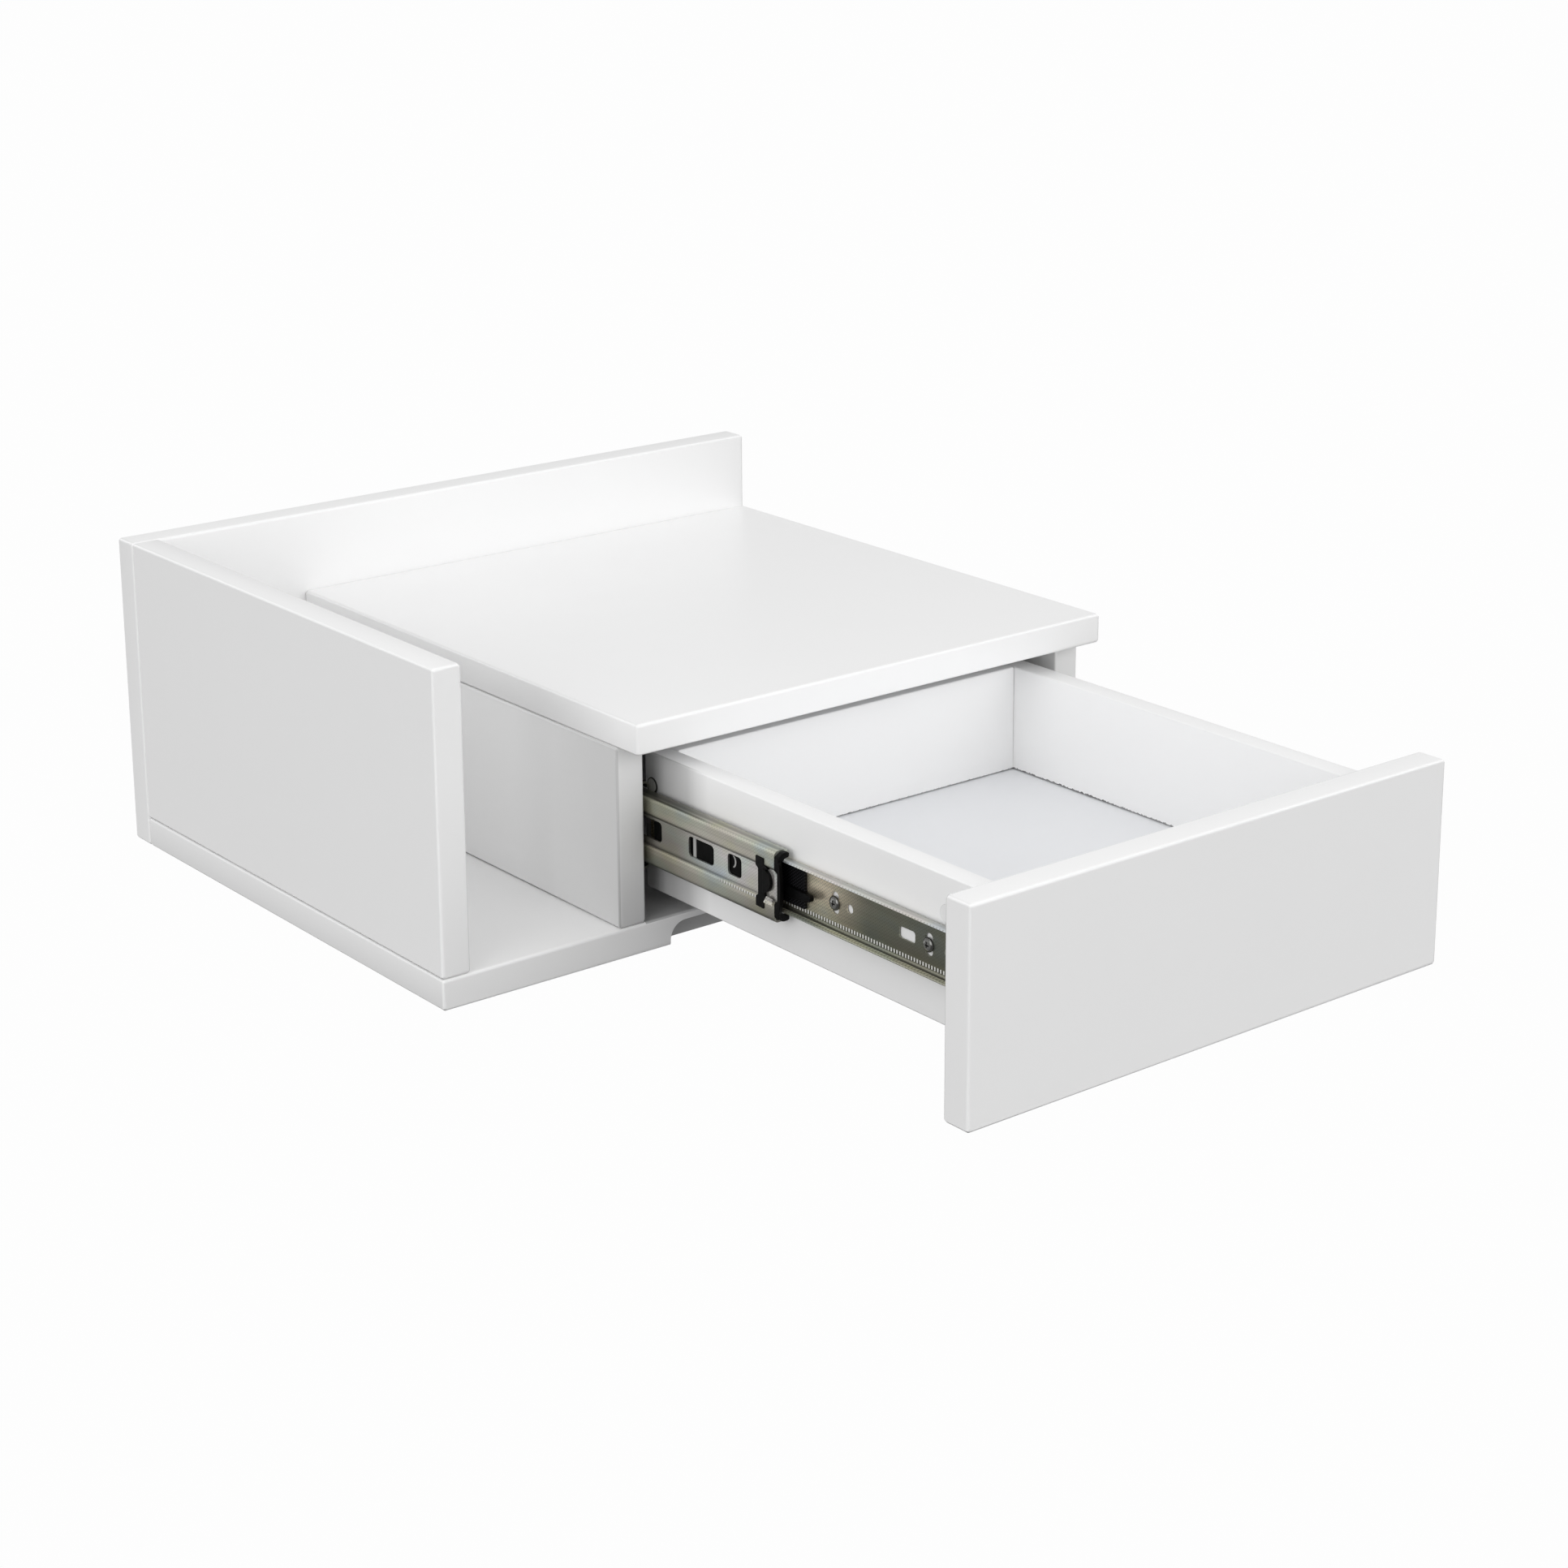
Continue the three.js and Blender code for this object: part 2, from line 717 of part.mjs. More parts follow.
function edgeMiddleX(boxSide) {
  return boxSide.faceX + boxSide.side * drawerSideThickness / 2;
}

function camBoltShape(boxSide) {
  const end = camY - camRadius - fittingEndGap;
  const start = drawerFrontRear - camBoltThread;
  return barY(edgeMiddleX(boxSide), start, end, camZ, camBoltRadius, smallSides);
}

// The bolt's bore runs on into the cam's seat
function camBoltBore(boxSide) {
  const start = drawerFrontRear - camBoltThread - fittingEndGap;
  const radius = camBoltRadius + fittingClearance;
  return barY(edgeMiddleX(boxSide), start, camY, camZ, radius, smallSides);
}

function dowelShape(boxSide, slack, radialSlack) {
  const half = dowelLength / 2 + slack;
  return barY(
    edgeMiddleX(boxSide), drawerFrontRear - half, drawerFrontRear + half, dowelZ,
    dowelRadius + radialSlack, smallSides,
  );
}

function drawerScrewShape(slide, y, grow) {
  const shankEnd = screwHeadThickness + steelGauge + drawerScrewLength;
  const profile = [
    [0, shankEnd + grow],
    [screwShankRadius / 2 + grow, shankEnd + grow],
    [screwShankRadius + grow, shankEnd - screwShankRadius * 2 + grow],
    [screwShankRadius + grow, screwHeadThickness],
    [screwHeadRadius, screwHeadThickness],
    [screwHeadRadius, screwHeadThickness / 2],
    [screwHeadRadius - screwHeadThickness / 2, screwHeadCrown],
    [0, 0],
  ];
  const depth = drawerWebInner - screwHeadThickness;
  return turnedAcross(slide, profile, depth, y, slideCentre, 1, smallSides);
}

// A bore for the thread alone, from just inside the board's face
function drawerScrewBore(slide, y) {
  const radius = screwShankRadius + holeClearance;
  const end = slideSpace + drawerScrewLength + holeClearance;
  return slideBar(slide, drawerWebInner, end, y, 0, radius, smallSides);
}

const bottomGroove = block(
  innerLeft - drawerGrooveDepth, innerRight + drawerGrooveDepth,
  drawerFrontRear - drawerGrooveDepth, backFace + drawerGrooveDepth,
  grooveLow, grooveHigh,
);

for (const boxSide of boxSides) {
  const inner = boxSide.faceX + boxSide.side * drawerSideThickness;
  const grooveInner = inner - boxSide.side * drawerGrooveDepth;
  const groove = block(
    grooveInner, inner + boxSide.side * drawerGrooveDepth,
    drawerFrontRear - edgeEase, boxRear + edgeEase, grooveLow, grooveHigh,
  );
  const low = Math.min(boxSide.faceX, inner);
  const high = Math.max(boxSide.faceX, inner);
  addPiece(`drawer_side_${boxSide.label}`, cut(
    easedBoard(low, high, drawerFrontRear, boxRear, boxBottom, boxTop, softEase),
    [
      groove,
      ...confirmatHole(boxSide),
      camShape(boxSide, fittingClearance),
      camBoltBore(boxSide),
      dowelShape(boxSide, fittingEndGap, fittingClearance),
      ...drawerScrewYs.map((y) => drawerScrewBore(boxSide.slide, y)),
    ],
  ), drawerLacquer);
  addPiece(`drawer_back_screw_${boxSide.label}`, confirmatShape(boxSide, 0), darkZinc);
  addPiece(`front_cam_${boxSide.label}`, camShape(boxSide, 0), whitePlastic);
  addPiece(`front_cam_bolt_${boxSide.label}`, camBoltShape(boxSide), brightZinc);
  addPiece(`front_dowel_${boxSide.label}`, dowelShape(boxSide, 0, 0), beech);
}

addPiece('drawer_back', cut(
  easedBoard(
    innerLeft, innerRight, backFace, boxRear, boxBottom, boxTop, softEase,
  ),
  [bottomGroove, ...boxSides.flatMap(confirmatHole)],
), drawerLacquer);

addPiece('drawer_bottom', block(
  innerLeft - drawerGrooveDepth + grooveSlack, innerRight + drawerGrooveDepth - grooveSlack,
  drawerFrontRear - drawerGrooveDepth + grooveSlack, backFace + drawerGrooveDepth - grooveSlack,
  grooveLow, grooveLow + drawerBottomThickness,
), bottomSheetFinish);

addPiece('drawer_front', cut(
  easedBoard(
    drawerFrontLeft, drawerFrontLeft + drawerFrontWidth,
    drawerFrontRear - frontThickness, drawerFrontRear,
    frontBottomReveal, frontBottomReveal + drawerFrontHeight, edgeEase,
  ),
  [
    bottomGroove,
    ...boxSides.map(camBoltBore),
    ...boxSides.map((boxSide) => dowelShape(boxSide, fittingEndGap, fittingClearance)),
  ],
), lacquer);


// Sections of the ball slide's members. The upper half runs from its free end to the web.
const grooveRadius = ballReach + steelGauge / 2;
const outerWeb = steelGauge / 2;
const outerFlange = cabinetHalfHeight - steelGauge / 2;
const outerSection = sheetOutline(mirroredLine([
  ...arcPoints(outerBallDepth, outerBallHeight, grooveRadius, -outerLipAngle, 90, arcSteps),
  new THREE.Vector2(outerWeb + sheetCornerRun, outerFlange),
  new THREE.Vector2(outerWeb, outerFlange - sheetCornerRun),
]), steelGauge);

const middleFlange = middleHalfHeight - middleGauge / 2;
const middleBand = middleFaceDepth + middleGauge / 2;
const middleSection = sheetOutline(mirroredLine([
  new THREE.Vector2(middleFlangeDepth, middleFlange),
  new THREE.Vector2(middleBand + sheetCornerRun, middleFlange),
  new THREE.Vector2(middleBand, middleFlange - sheetCornerRun),
  new THREE.Vector2(middleBand, middleWebHalfHeight + middleStepRun),
  new THREE.Vector2(middleBand + middleWebRecess, middleWebHalfHeight),
]), middleGauge);

const railFlange = drawerRailHalfHeight - steelGauge / 2;
const railWeb = slideSpace - steelGauge / 2;
const railMeet = THREE.MathUtils.radToDeg(Math.asin((railFlange - innerBallHeight) / grooveRadius));
const railSection = sheetOutline(mirroredLine([
  ...arcPoints(
    innerBallDepth, innerBallHeight, grooveRadius, -innerLipAngle - 90, railMeet, arcSteps,
  ),
  new THREE.Vector2(railWeb - sheetCornerRun, railFlange),
  new THREE.Vector2(railWeb, railFlange - sheetCornerRun),
]), steelGauge);

const outerCageSection = sheetOutline(mirroredLine([
  new THREE.Vector2(outerCageStripEnd, outerBallHeight),
  new THREE.Vector2(outerCageWebDepth, outerBallHeight),
]), cageGauge);

const innerCageSection = sheetOutline(mirroredLine([
  new THREE.Vector2(innerCageStripEnd, innerBallHeight),
  new THREE.Vector2(innerCageWebDepth, innerBallHeight),
]), cageGauge);

// The C-shaped end piece that wraps the middle member's flanges
const capBack = middleFaceDepth + capFrontBar - capFace;
const capReach = middleFlangeDepth + capFace;
const capTop = middleHalfHeight + capFace;
const capArm = drawerRailHalfHeight + capGrooveClearance;
const capSection = new THREE.Shape(mirroredLine([
  new THREE.Vector2(capBack, capArm),
  new THREE.Vector2(capReach, capArm),
  new THREE.Vector2(capReach, capTop),
  new THREE.Vector2(middleFaceDepth - capFace, capTop),
]));

// A hole through a member's web, rounded at its corners
function webHole(slide, y, length, height, corner, webDepth) {
  const outline = arcRectangle(length, height, corner);
  return plateAcross(slide, outline, y, 0, webDepth - steelGauge * 2, webDepth + steelGauge * 2);
}

// A ball cage: a bent strip with a row of balls held in each of its two edges
function ballCage(slide, section, ballDepth, ballHeight, front, length) {
  const pieces = [sectionAlongY(slide, section, front + length, length)];
  const pitch = (length - ballEndInset * 2) / (ballsPerRow - 1);
  for (const height of [ballHeight, -ballHeight]) {
    for (let index = 0; index < ballsPerRow; index += 1) {
      const ball = new THREE.SphereGeometry(ballRadius, ballAround, ballRings);
      ball.translate(
        slide.faceX + slide.side * ballDepth,
        front + ballEndInset + pitch * index,
        slideCentre + height,
      );
      pieces.push(ball);
    }
  }
  return join(pieces);
}

function stopClip(slide) {
  const rear = middleRailFront + clipRearFromFront;
  const front = clipFaceGap + steelGauge;
  const face = middleFaceDepth - clipWebClearance;
  const recessFloor = face + middleWebRecess;
  const barFront = rear - clipBarLength;
  const barHalf = middleWebHalfHeight - middleStepRun;
  const bulge = new THREE.Shape();
  bulge.absarc(0, 0, clipBulgeRadius, Math.PI / 2, Math.PI * 3 / 2, false);
  bulge.closePath();
  return join([
    slideBlock(slide, front, face, rear - clipPadLength, rear, -clipHalfHeight, clipHalfHeight),
    slideBlock(slide, front, recessFloor, barFront, rear, -barHalf, barHalf),
    plateAcross(slide, bulge, barFront + clipWebClearance, clipBulgeRise, front, recessFloor),
  ]);
}

// The plate on the drawer member that carries the release lever on a headed pin
const latchRear = middleRailFront + latchOverlap;
const latchFace = drawerWebInner - latchPlate;
const pivotY = latchRear - pivotInset;
const leverOuter = latchFace - leverFaceGap;
const leverInner = leverOuter - leverThickness;

function latchBlock(slide) {
  const outline = arcRectangle(latchLength, latchHalfHeight * 2, latchCorner);
  const middle = latchRear - latchLength / 2;
  const headDepth = leverInner - leverFaceGap;
  return join([
    plateAcross(slide, outline, middle, 0, latchFace, drawerWebInner),
    slideBar(
      slide, headDepth, latchFace + latchPlate / 2, pivotY, -leverDrop, pivotRadius, smallSides,
    ),
    slideBar(
      slide, headDepth - pivotHeadLength, headDepth, pivotY, -leverDrop,
      pivotHeadRadius, smallSides,
    ),
  ]);
}

function releaseLever(slide) {
  const half = leverHeight / 2;
  const tip = half * leverTipTaperShare;
  const arm = new THREE.Shape([
    new THREE.Vector2(0, half),
    new THREE.Vector2(-leverLength, tip),
    new THREE.Vector2(-leverLength, -tip),
    new THREE.Vector2(0, -half),
  ]);
  const eye = slideBar(
    slide, leverInner, leverOuter, pivotY, -leverDrop, leverEyeRadius, roundSides,
  );
  const bore = slideBar(
    slide, leverInner - leverFaceGap, leverOuter + leverFaceGap, pivotY, -leverDrop,
    pivotRadius + pivotClearance, roundSides,
  );
  const body = join([eye, plateAcross(slide, arm, pivotY, -leverDrop, leverInner, leverOuter)]);
  return cut(body, [bore]);
}

function crossRecess(slide, y) {
  const top = drawerWebInner - screwHeadThickness;
  const floor = top + crossDepth;
  const mouth = top - crossDepth;
  const long = crossLength / 2;
  const short = crossWidth / 2;
  return [
    slideBlock(slide, mouth, floor, y - long, y + long, -short, short),
    slideBlock(slide, mouth, floor, y - short, y + short, -long, long),
  ];
}

for (const slide of slides) {
  const { label } = slide;
  const cabinetRailRear = cabinetRailFront + slideLength;
  addPiece(`cabinet_rail_${label}`, cut(
    sectionAlongY(slide, outerSection, cabinetRailRear, slideLength), cabinetScrewHoles(slide),
  ), yellowZinc);
  cabinetScrewYs.forEach((y, index) => {
    const place = index > 0 ? 'rear' : 'front';
    addPiece(`cabinet_rail_screw_${label}_${place}`, cabinetScrewShape(slide, y, 0), darkZinc);
  });
  const bumperRear = cabinetRailRear - bumperInset;
  addPiece(`rear_bumper_${label}`, slideBlock(
    slide, steelGauge, steelGauge + bumperDepth, bumperRear - bumperLength, bumperRear,
    -bumperHalfHeight, bumperHalfHeight,
  ), blackRubber);
  addPiece(`outer_ball_cage_${label}`, ballCage(
    slide, outerCageSection, outerBallDepth, outerBallHeight,
    cabinetRailFront + cageInset, outerCageLength,
  ), brightZinc);

  addPiece(`middle_rail_${label}`, cut(
    sectionAlongY(slide, middleSection, middleRailFront + middleLength, middleLength),
    webWindows.map(({ fromFront, length, height }) => webHole(
      slide, middleRailFront + fromFront, length, height, windowCorner, middleBand,
    )),
  ), yellowZinc);
  addPiece(`middle_rail_end_cap_${label}`, sectionAlongY(
    slide, capSection, middleRailFront, capLength,
  ), blackPlastic);
  addPiece(`middle_rail_stop_clip_${label}`, stopClip(slide), blackPlastic);
  addPiece(`inner_ball_cage_${label}`, ballCage(
    slide, innerCageSection, innerBallDepth, innerBallHeight,
    middleRailFront + cageInset, innerCageLength,
  ), brightZinc);

  addPiece(`drawer_rail_${label}`, cut(
    sectionAlongY(slide, railSection, drawerRailFront + slideLength, slideLength),
    [
      ...drawerScrewYs.map((y) => webHole(slide, y, slotWide, slotTall, slotWide / 2, railWeb)),
      webHole(
        slide, drawerRailFront + longSlotInset, longSlotLength, longSlotHeight,
        longSlotHeight / 2, railWeb,
      ),
      ...[frontHoleInset, roundHoleInset].map((inset) => slideBar(
        slide, drawerWebInner - steelGauge, slideSpace + steelGauge, drawerRailFront + inset, 0,
        roundHoleRadius, roundSides,
      )),
    ],
  ), yellowZinc);
  drawerScrewYs.forEach((y, index) => {
    const place = index > 0 ? 'rear' : 'front';
    addPiece(
      `drawer_rail_screw_${label}_${place}`,
      cut(drawerScrewShape(slide, y, 0), crossRecess(slide, y)), brightZinc,
    );
  });
  addPiece(`latch_block_${label}`, latchBlock(slide), blackPlastic);
  addPiece(`release_lever_${label}`, releaseLever(slide), blackPlastic);
}

export default assembly;
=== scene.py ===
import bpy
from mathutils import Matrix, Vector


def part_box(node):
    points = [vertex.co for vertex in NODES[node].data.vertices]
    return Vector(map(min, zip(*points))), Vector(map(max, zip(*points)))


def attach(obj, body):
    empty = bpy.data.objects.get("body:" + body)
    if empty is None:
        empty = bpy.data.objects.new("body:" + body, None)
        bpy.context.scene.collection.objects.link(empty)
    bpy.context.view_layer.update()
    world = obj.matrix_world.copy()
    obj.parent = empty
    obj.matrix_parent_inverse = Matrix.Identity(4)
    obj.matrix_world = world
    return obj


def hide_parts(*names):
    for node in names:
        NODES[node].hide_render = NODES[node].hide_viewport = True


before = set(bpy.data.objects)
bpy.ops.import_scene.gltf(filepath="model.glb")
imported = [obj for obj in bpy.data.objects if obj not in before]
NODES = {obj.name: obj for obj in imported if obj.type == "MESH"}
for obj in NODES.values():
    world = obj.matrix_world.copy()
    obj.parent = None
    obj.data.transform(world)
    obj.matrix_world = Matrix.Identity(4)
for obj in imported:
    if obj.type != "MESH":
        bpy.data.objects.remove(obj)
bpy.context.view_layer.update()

import math

import bmesh
import bpy
import numpy as np
from mathutils import Matrix, Vector

MM = 0.001


# Shader node helpers

def set_inputs(node, inputs):
    """Sets inputs by name or number, each to an output to link or to a plain value."""
    for key, value in inputs.items():
        if isinstance(value, bpy.types.NodeSocket):
            node.id_data.links.new(value, node.inputs[key])
        else:
            node.inputs[key].default_value = value


def add_node(kind, inputs=(), tree=None, **settings):
    """A shader node with its inputs and settings, in the given tree or else in that of an
    output among its inputs."""
    inputs = dict(inputs)
    if tree is None:
        tree = next(value.id_data for value in inputs.values() if isinstance(value, bpy.types.NodeSocket))
    node = tree.nodes.new(f"ShaderNode{kind}")
    for name, value in settings.items():
        setattr(node, name, value)
    set_inputs(node, inputs)
    return node


def math_node(operation, *values):
    return add_node("Math", enumerate(values), operation=operation).outputs[0]


def plus(a, b):
    return math_node("ADD", a, b)


def minus(a, b):
    return math_node("SUBTRACT", a, b)


def times(a, b):
    return math_node("MULTIPLY", a, b)


def times_plus(a, b, c):
    return math_node("MULTIPLY_ADD", a, b, c)


def vector_node(operation, *values):
    return add_node("VectorMath", enumerate(values), operation=operation).outputs[0]


def scale_colour(colour, share):
    return add_node("VectorMath", {0: colour, "Scale": share}, operation="SCALE").outputs[0]


def split(vector):
    """The X, Y and Z outputs of a vector."""
    return add_node("SeparateXYZ", {0: vector}).outputs


def noise_node(vector, scale, detail=2.0, roughness=0.5):
    inputs = {"Vector": vector, "Scale": scale, "Detail": detail, "Roughness": roughness}
    return add_node("TexNoise", inputs).outputs["Fac"]


def ramp_value(value, low, high, to_low=0.0, to_high=1.0, smooth=True):
    """A value carried from one range to another, and level beyond both ends."""
    inputs = {"Value": value, "From Min": low, "From Max": high, "To Min": to_low, "To Max": to_high}
    curve = "SMOOTHSTEP" if smooth else "LINEAR"
    return add_node("MapRange", inputs, interpolation_type=curve).outputs[0]


def mix_colour(factor, a, b, blend="MIX"):
    inputs = {0: factor, 6: a, 7: b}
    return add_node("Mix", inputs, data_type="RGBA", blend_type=blend).outputs[2]


def colour_ramp(value, stops):
    """A colour that passes through a row of (position, colour) stops."""
    ramp = add_node("ValToRGB", {"Fac": value})
    elements = ramp.color_ramp.elements
    elements.remove(elements[1])
    for index, (position, colour) in enumerate(stops):
        element = elements.new(position) if index else elements[0]
        element.position = position
        element.color = colour
    return ramp.outputs["Color"]


def above(value, place, soft):
    """One above a place and zero below it, with a soft change."""
    return ramp_value(value, place - soft, place + soft)


def below(value, place, soft):
    return ramp_value(value, place - soft, place + soft, 1.0, 0.0)


def band_mask(value, low, high, soft):
    """One between two values and zero outside, with soft ends."""
    return times(above(value, low, soft), below(value, high, soft))


def seen_by_camera(light, sight):
    """A shader that is `sight` to the camera's own rays and `light` to all others."""
    camera_ray = add_node("LightPath", tree=light.id_data).outputs["Is Camera Ray"]
    return add_node("MixShader", {0: camera_ray, 1: light, 2: sight}).outputs[0]


def add_object(name, data):
    """A new object in the scene."""
    item = bpy.data.objects.new(name, data)
    bpy.context.scene.collection.objects.link(item)
    return item


# Camera

IMAGE_WIDTH = 1932
SENSOR_WIDTH = 36
FOCAL_PIXELS = 3899.8
CENTRE_PIXELS = (966, 711.35)
CAMERA_PLACE = (-0.9428, -1.5058, 0.5095)
CAMERA_TURN = 38.366
CAMERA_PITCH = -15.302
CAMERA_ROLL = -0.293
CLIP_NEAR = 0.05
CLIP_FAR = 50


def make_camera():
    """A camera that looks down a little, with a slightly shifted lens."""
    turn, pitch, roll = (math.radians(a) for a in (CAMERA_TURN, CAMERA_PITCH, CAMERA_ROLL))
    forward = Vector((
        math.sin(turn) * math.cos(pitch), math.cos(turn) * math.cos(pitch), math.sin(pitch)))
    level = Vector((math.cos(turn), -math.sin(turn), 0))
    upright = level.cross(forward)
    right = level * math.cos(roll) + upright * math.sin(roll)
    up = upright * math.cos(roll) - level * math.sin(roll)
    data = bpy.data.cameras.new("view")
    data.sensor_width = SENSOR_WIDTH
    data.lens = FOCAL_PIXELS * SENSOR_WIDTH / IMAGE_WIDTH
    half = IMAGE_WIDTH / 2
    data.shift_x = (half - CENTRE_PIXELS[0]) / IMAGE_WIDTH
    data.shift_y = (CENTRE_PIXELS[1] - half) / IMAGE_WIDTH
    data.clip_start, data.clip_end = CLIP_NEAR, CLIP_FAR
    camera = add_object("view", data)
    pose = Matrix((right, up, -forward)).transposed().to_4x4()
    pose.translation = Vector(CAMERA_PLACE)
    camera.matrix_world = pose
    bpy.context.scene.camera = camera


make_camera()


# Light and floor

CARCASS_AIM = (0, -0.2, 0)
DRAWER_AIM = (0, -0.35, 0)
# Name, place, aim, width and height, power
SOFTBOXES = (
    ("front_softbox", (0.5, -2.4, 0.7), CARCASS_AIM, (2.4, 1.6), 18.3),
    ("left_softbox", (-2.2, -0.9, 0.5), CARCASS_AIM, (1.6, 1.6), 18.5),
    ("right_softbox", (2.2, -0.9, 0.8), CARCASS_AIM, (1.6, 1.6), 4.0),
    ("near_left_softbox", (-0.7, -0.5, 1.2), DRAWER_AIM, (0.7, 0.7), 1.2),
)
SKY_STRENGTH = 0.95
HORIZON_FADE = 0.4
BACKGROUND_WHITE = (0.985, 0.985, 0.985, 1)
FLOOR_TONE = (0.2, 0.2, 0.2, 1)
FLOOR_REACH = 30
FLOOR_HEIGHT = -0.6


def make_softbox(name, place, aim, size, power):
    """A rectangular lamp that faces its aim."""
    data = bpy.data.lights.new(name, "AREA")
    data.shape = "RECTANGLE"
    data.size, data.size_y = size
    data.energy = power
    lamp = add_object(name, data)
    lamp.location = place
    lamp.rotation_euler = (Vector(aim) - Vector(place)).to_track_quat("-Z", "Y").to_euler()


def make_world():
    """Soft light from above that fades out below the horizon. The camera sees white."""
    world = bpy.data.worlds.new("studio")
    bpy.context.scene.world = world
    world.use_nodes = True
    tree = world.node_tree
    tree.nodes.clear()
    height = split(add_node("TexCoord", tree=tree).outputs["Generated"])["Z"]
    strength = ramp_value(height, -HORIZON_FADE, HORIZON_FADE, 0.0, SKY_STRENGTH, smooth=False)
    sky = add_node("Background", {"Strength": strength}).outputs[0]
    white = add_node("Background", {"Color": BACKGROUND_WHITE}, tree).outputs[0]
    add_node("OutputWorld", {0: seen_by_camera(sky, white)})


def make_floor():
    """A wide pale sheet well below the hung piece. The camera sees it nearly white."""
    mesh = bpy.data.meshes.new("floor")
    reach, height = FLOOR_REACH, FLOOR_HEIGHT
    mesh.from_pydata([(-reach, -reach, height), (reach, -reach, height), (reach, reach, height),
                      (-reach, reach, height)], [], [(0, 1, 2, 3)])
    floor = add_object("floor", mesh)
    material = bpy.data.materials.new("floor_paper")
    material.use_nodes = True
    tree = material.node_tree
    tree.nodes.clear()
    paper = add_node("BsdfDiffuse", {"Color": FLOOR_TONE}, tree).outputs[0]
    glow = add_node("Emission", {"Color": BACKGROUND_WHITE}, tree).outputs[0]
    add_node("OutputMaterial", {0: seen_by_camera(paper, glow)})
    mesh.materials.append(material)


for softbox in SOFTBOXES:
    make_softbox(*softbox)
make_world()
make_floor()


# Node groups shared by the materials

PEEL_SCALE = 900
PEEL_SHARE = 0.35
WAVE_SCALE = 60
BLOTCH_SCALE = 14
LINE_SCALE = (900, 6, 900)
PATCH_SCALE = (60, 34, 60)
DOT_PITCH_Y = 2.1 * MM
DOT_PITCH_Z = 1.6 * MM
HUES = ((0.30, (0.82, 0.90, 1.0, 1)), (0.44, (0.96, 0.98, 0.92, 1)), (0.56, (1.0, 0.92, 0.92, 1)),
        (0.72, (0.98, 0.94, 0.76, 1)))


def new_group(name, inputs, outputs):
    """An empty shader node group with named vector inputs, and outputs of named kinds.
    Returns it with the inner sockets of its inputs and the node of its outputs."""
    group = bpy.data.node_groups.new(name, "ShaderNodeTree")
    for label in inputs:
        group.interface.new_socket(label, in_out="INPUT", socket_type="NodeSocketVector")
    for label, kind in outputs.items():
        group.interface.new_socket(label, in_out="OUTPUT", socket_type=f"NodeSocket{kind}")
    return group, group.nodes.new("NodeGroupInput").outputs, group.nodes.new("NodeGroupOutput")


def build_edge_group():
    """Distance from the nearest edge of a box: of the three distances to its faces, the
    middle one, since the smallest is zero on the surface."""
    group, given, end = new_group(
        "box_edge_distance", ("Place", "Centre", "Half Size"), {"Distance": "Float"})
    offset = vector_node("SUBTRACT", given["Place"], given["Centre"])
    depth = vector_node("SUBTRACT", given["Half Size"], vector_node("ABSOLUTE", offset))
    x, y, z = split(depth)
    low = math_node("MINIMUM", x, y)
    high = math_node("MAXIMUM", x, y)
    set_inputs(end, {"Distance": math_node("MAXIMUM", low, math_node("MINIMUM", high, z))})
    return group


def build_lacquer_group():
    """Height of a sprayed lacquer skin, a fine orange peel with a slow waviness under it,
    and its slow blotches."""
    group, given, end = new_group("lacquer_skin", ("Place",), {"Height": "Float", "Blotch": "Float"})
    peel = noise_node(given["Place"], PEEL_SCALE, 2.0, 0.45)
    wave = noise_node(given["Place"], WAVE_SCALE, 1.0)
    set_inputs(end, {
        "Height": plus(times(peel, PEEL_SHARE), times(wave, 1 - PEEL_SHARE)),
        "Blotch": noise_node(given["Place"], BLOTCH_SCALE, 3.0, 0.6)})
    return group


def build_zinc_group():
    """Rolled and plated steel: fine lines along Y, a grain of tiny dots left by the rolls,
    and soft patches of iridescence."""
    group, given, end = new_group(
        "zinc_plating", ("Place",), {"Lines": "Float", "Dots": "Float", "Hue": "Color"})
    patches = noise_node(vector_node("MULTIPLY", given["Place"], PATCH_SCALE), 1.0, 2.0, 0.55)
    parts = split(given["Place"])
    along = math_node("SINE", times(parts["Y"], 2 * math.pi / DOT_PITCH_Y))
    across = math_node("SINE", times(parts["Z"], 2 * math.pi / DOT_PITCH_Z))
    set_inputs(end, {
        "Lines": noise_node(vector_node("MULTIPLY", given["Place"], LINE_SCALE), 1.0, 3.0, 0.6),
        "Dots": times_plus(times(along, across), 0.5, 0.5), "Hue": colour_ramp(patches, HUES)})
    return group


EDGE_GROUP = build_edge_group()
LACQUER_GROUP = build_lacquer_group()
ZINC_GROUP = build_zinc_group()


# Tones by place

# A colour ramp holds no value over one, so it holds the shares of tone divided by this
PROFILE_TOP = 3.0
TONE_SOFT = 0.2 * MM


def tone_profile(value, origin, stops):
    """A share of tone that follows a row of (place, share) stops. The places are in
    millimetres from the origin, and the share stays level beyond both ends."""
    first, last = stops[0][0], stops[-1][0]
    reach = ramp_value(value, origin + first * MM, origin + last * MM, smooth=False)
    greys = [((place - first) / (last - first), [share / PROFILE_TOP] * 3 + [1]) for place, share in stops]
    return times(colour_ramp(reach, greys), PROFILE_TOP)


def local_share(place, axis, stops, limits):
    """Share of tone along an axis, within limits that each name an axis and two places
    in millimetres, and one outside them."""
    parts = split(place)
    share = minus(tone_profile(parts[axis], 0, stops), 1.0)
    for limit, low, high in limits:
        share = times(share, band_mask(parts[limit], low * MM, high * MM, TONE_SOFT))
    return plus(share, 1.0)


def darker(colour, share):
    return [c * share for c in colour[:3]] + [1]


# Materials

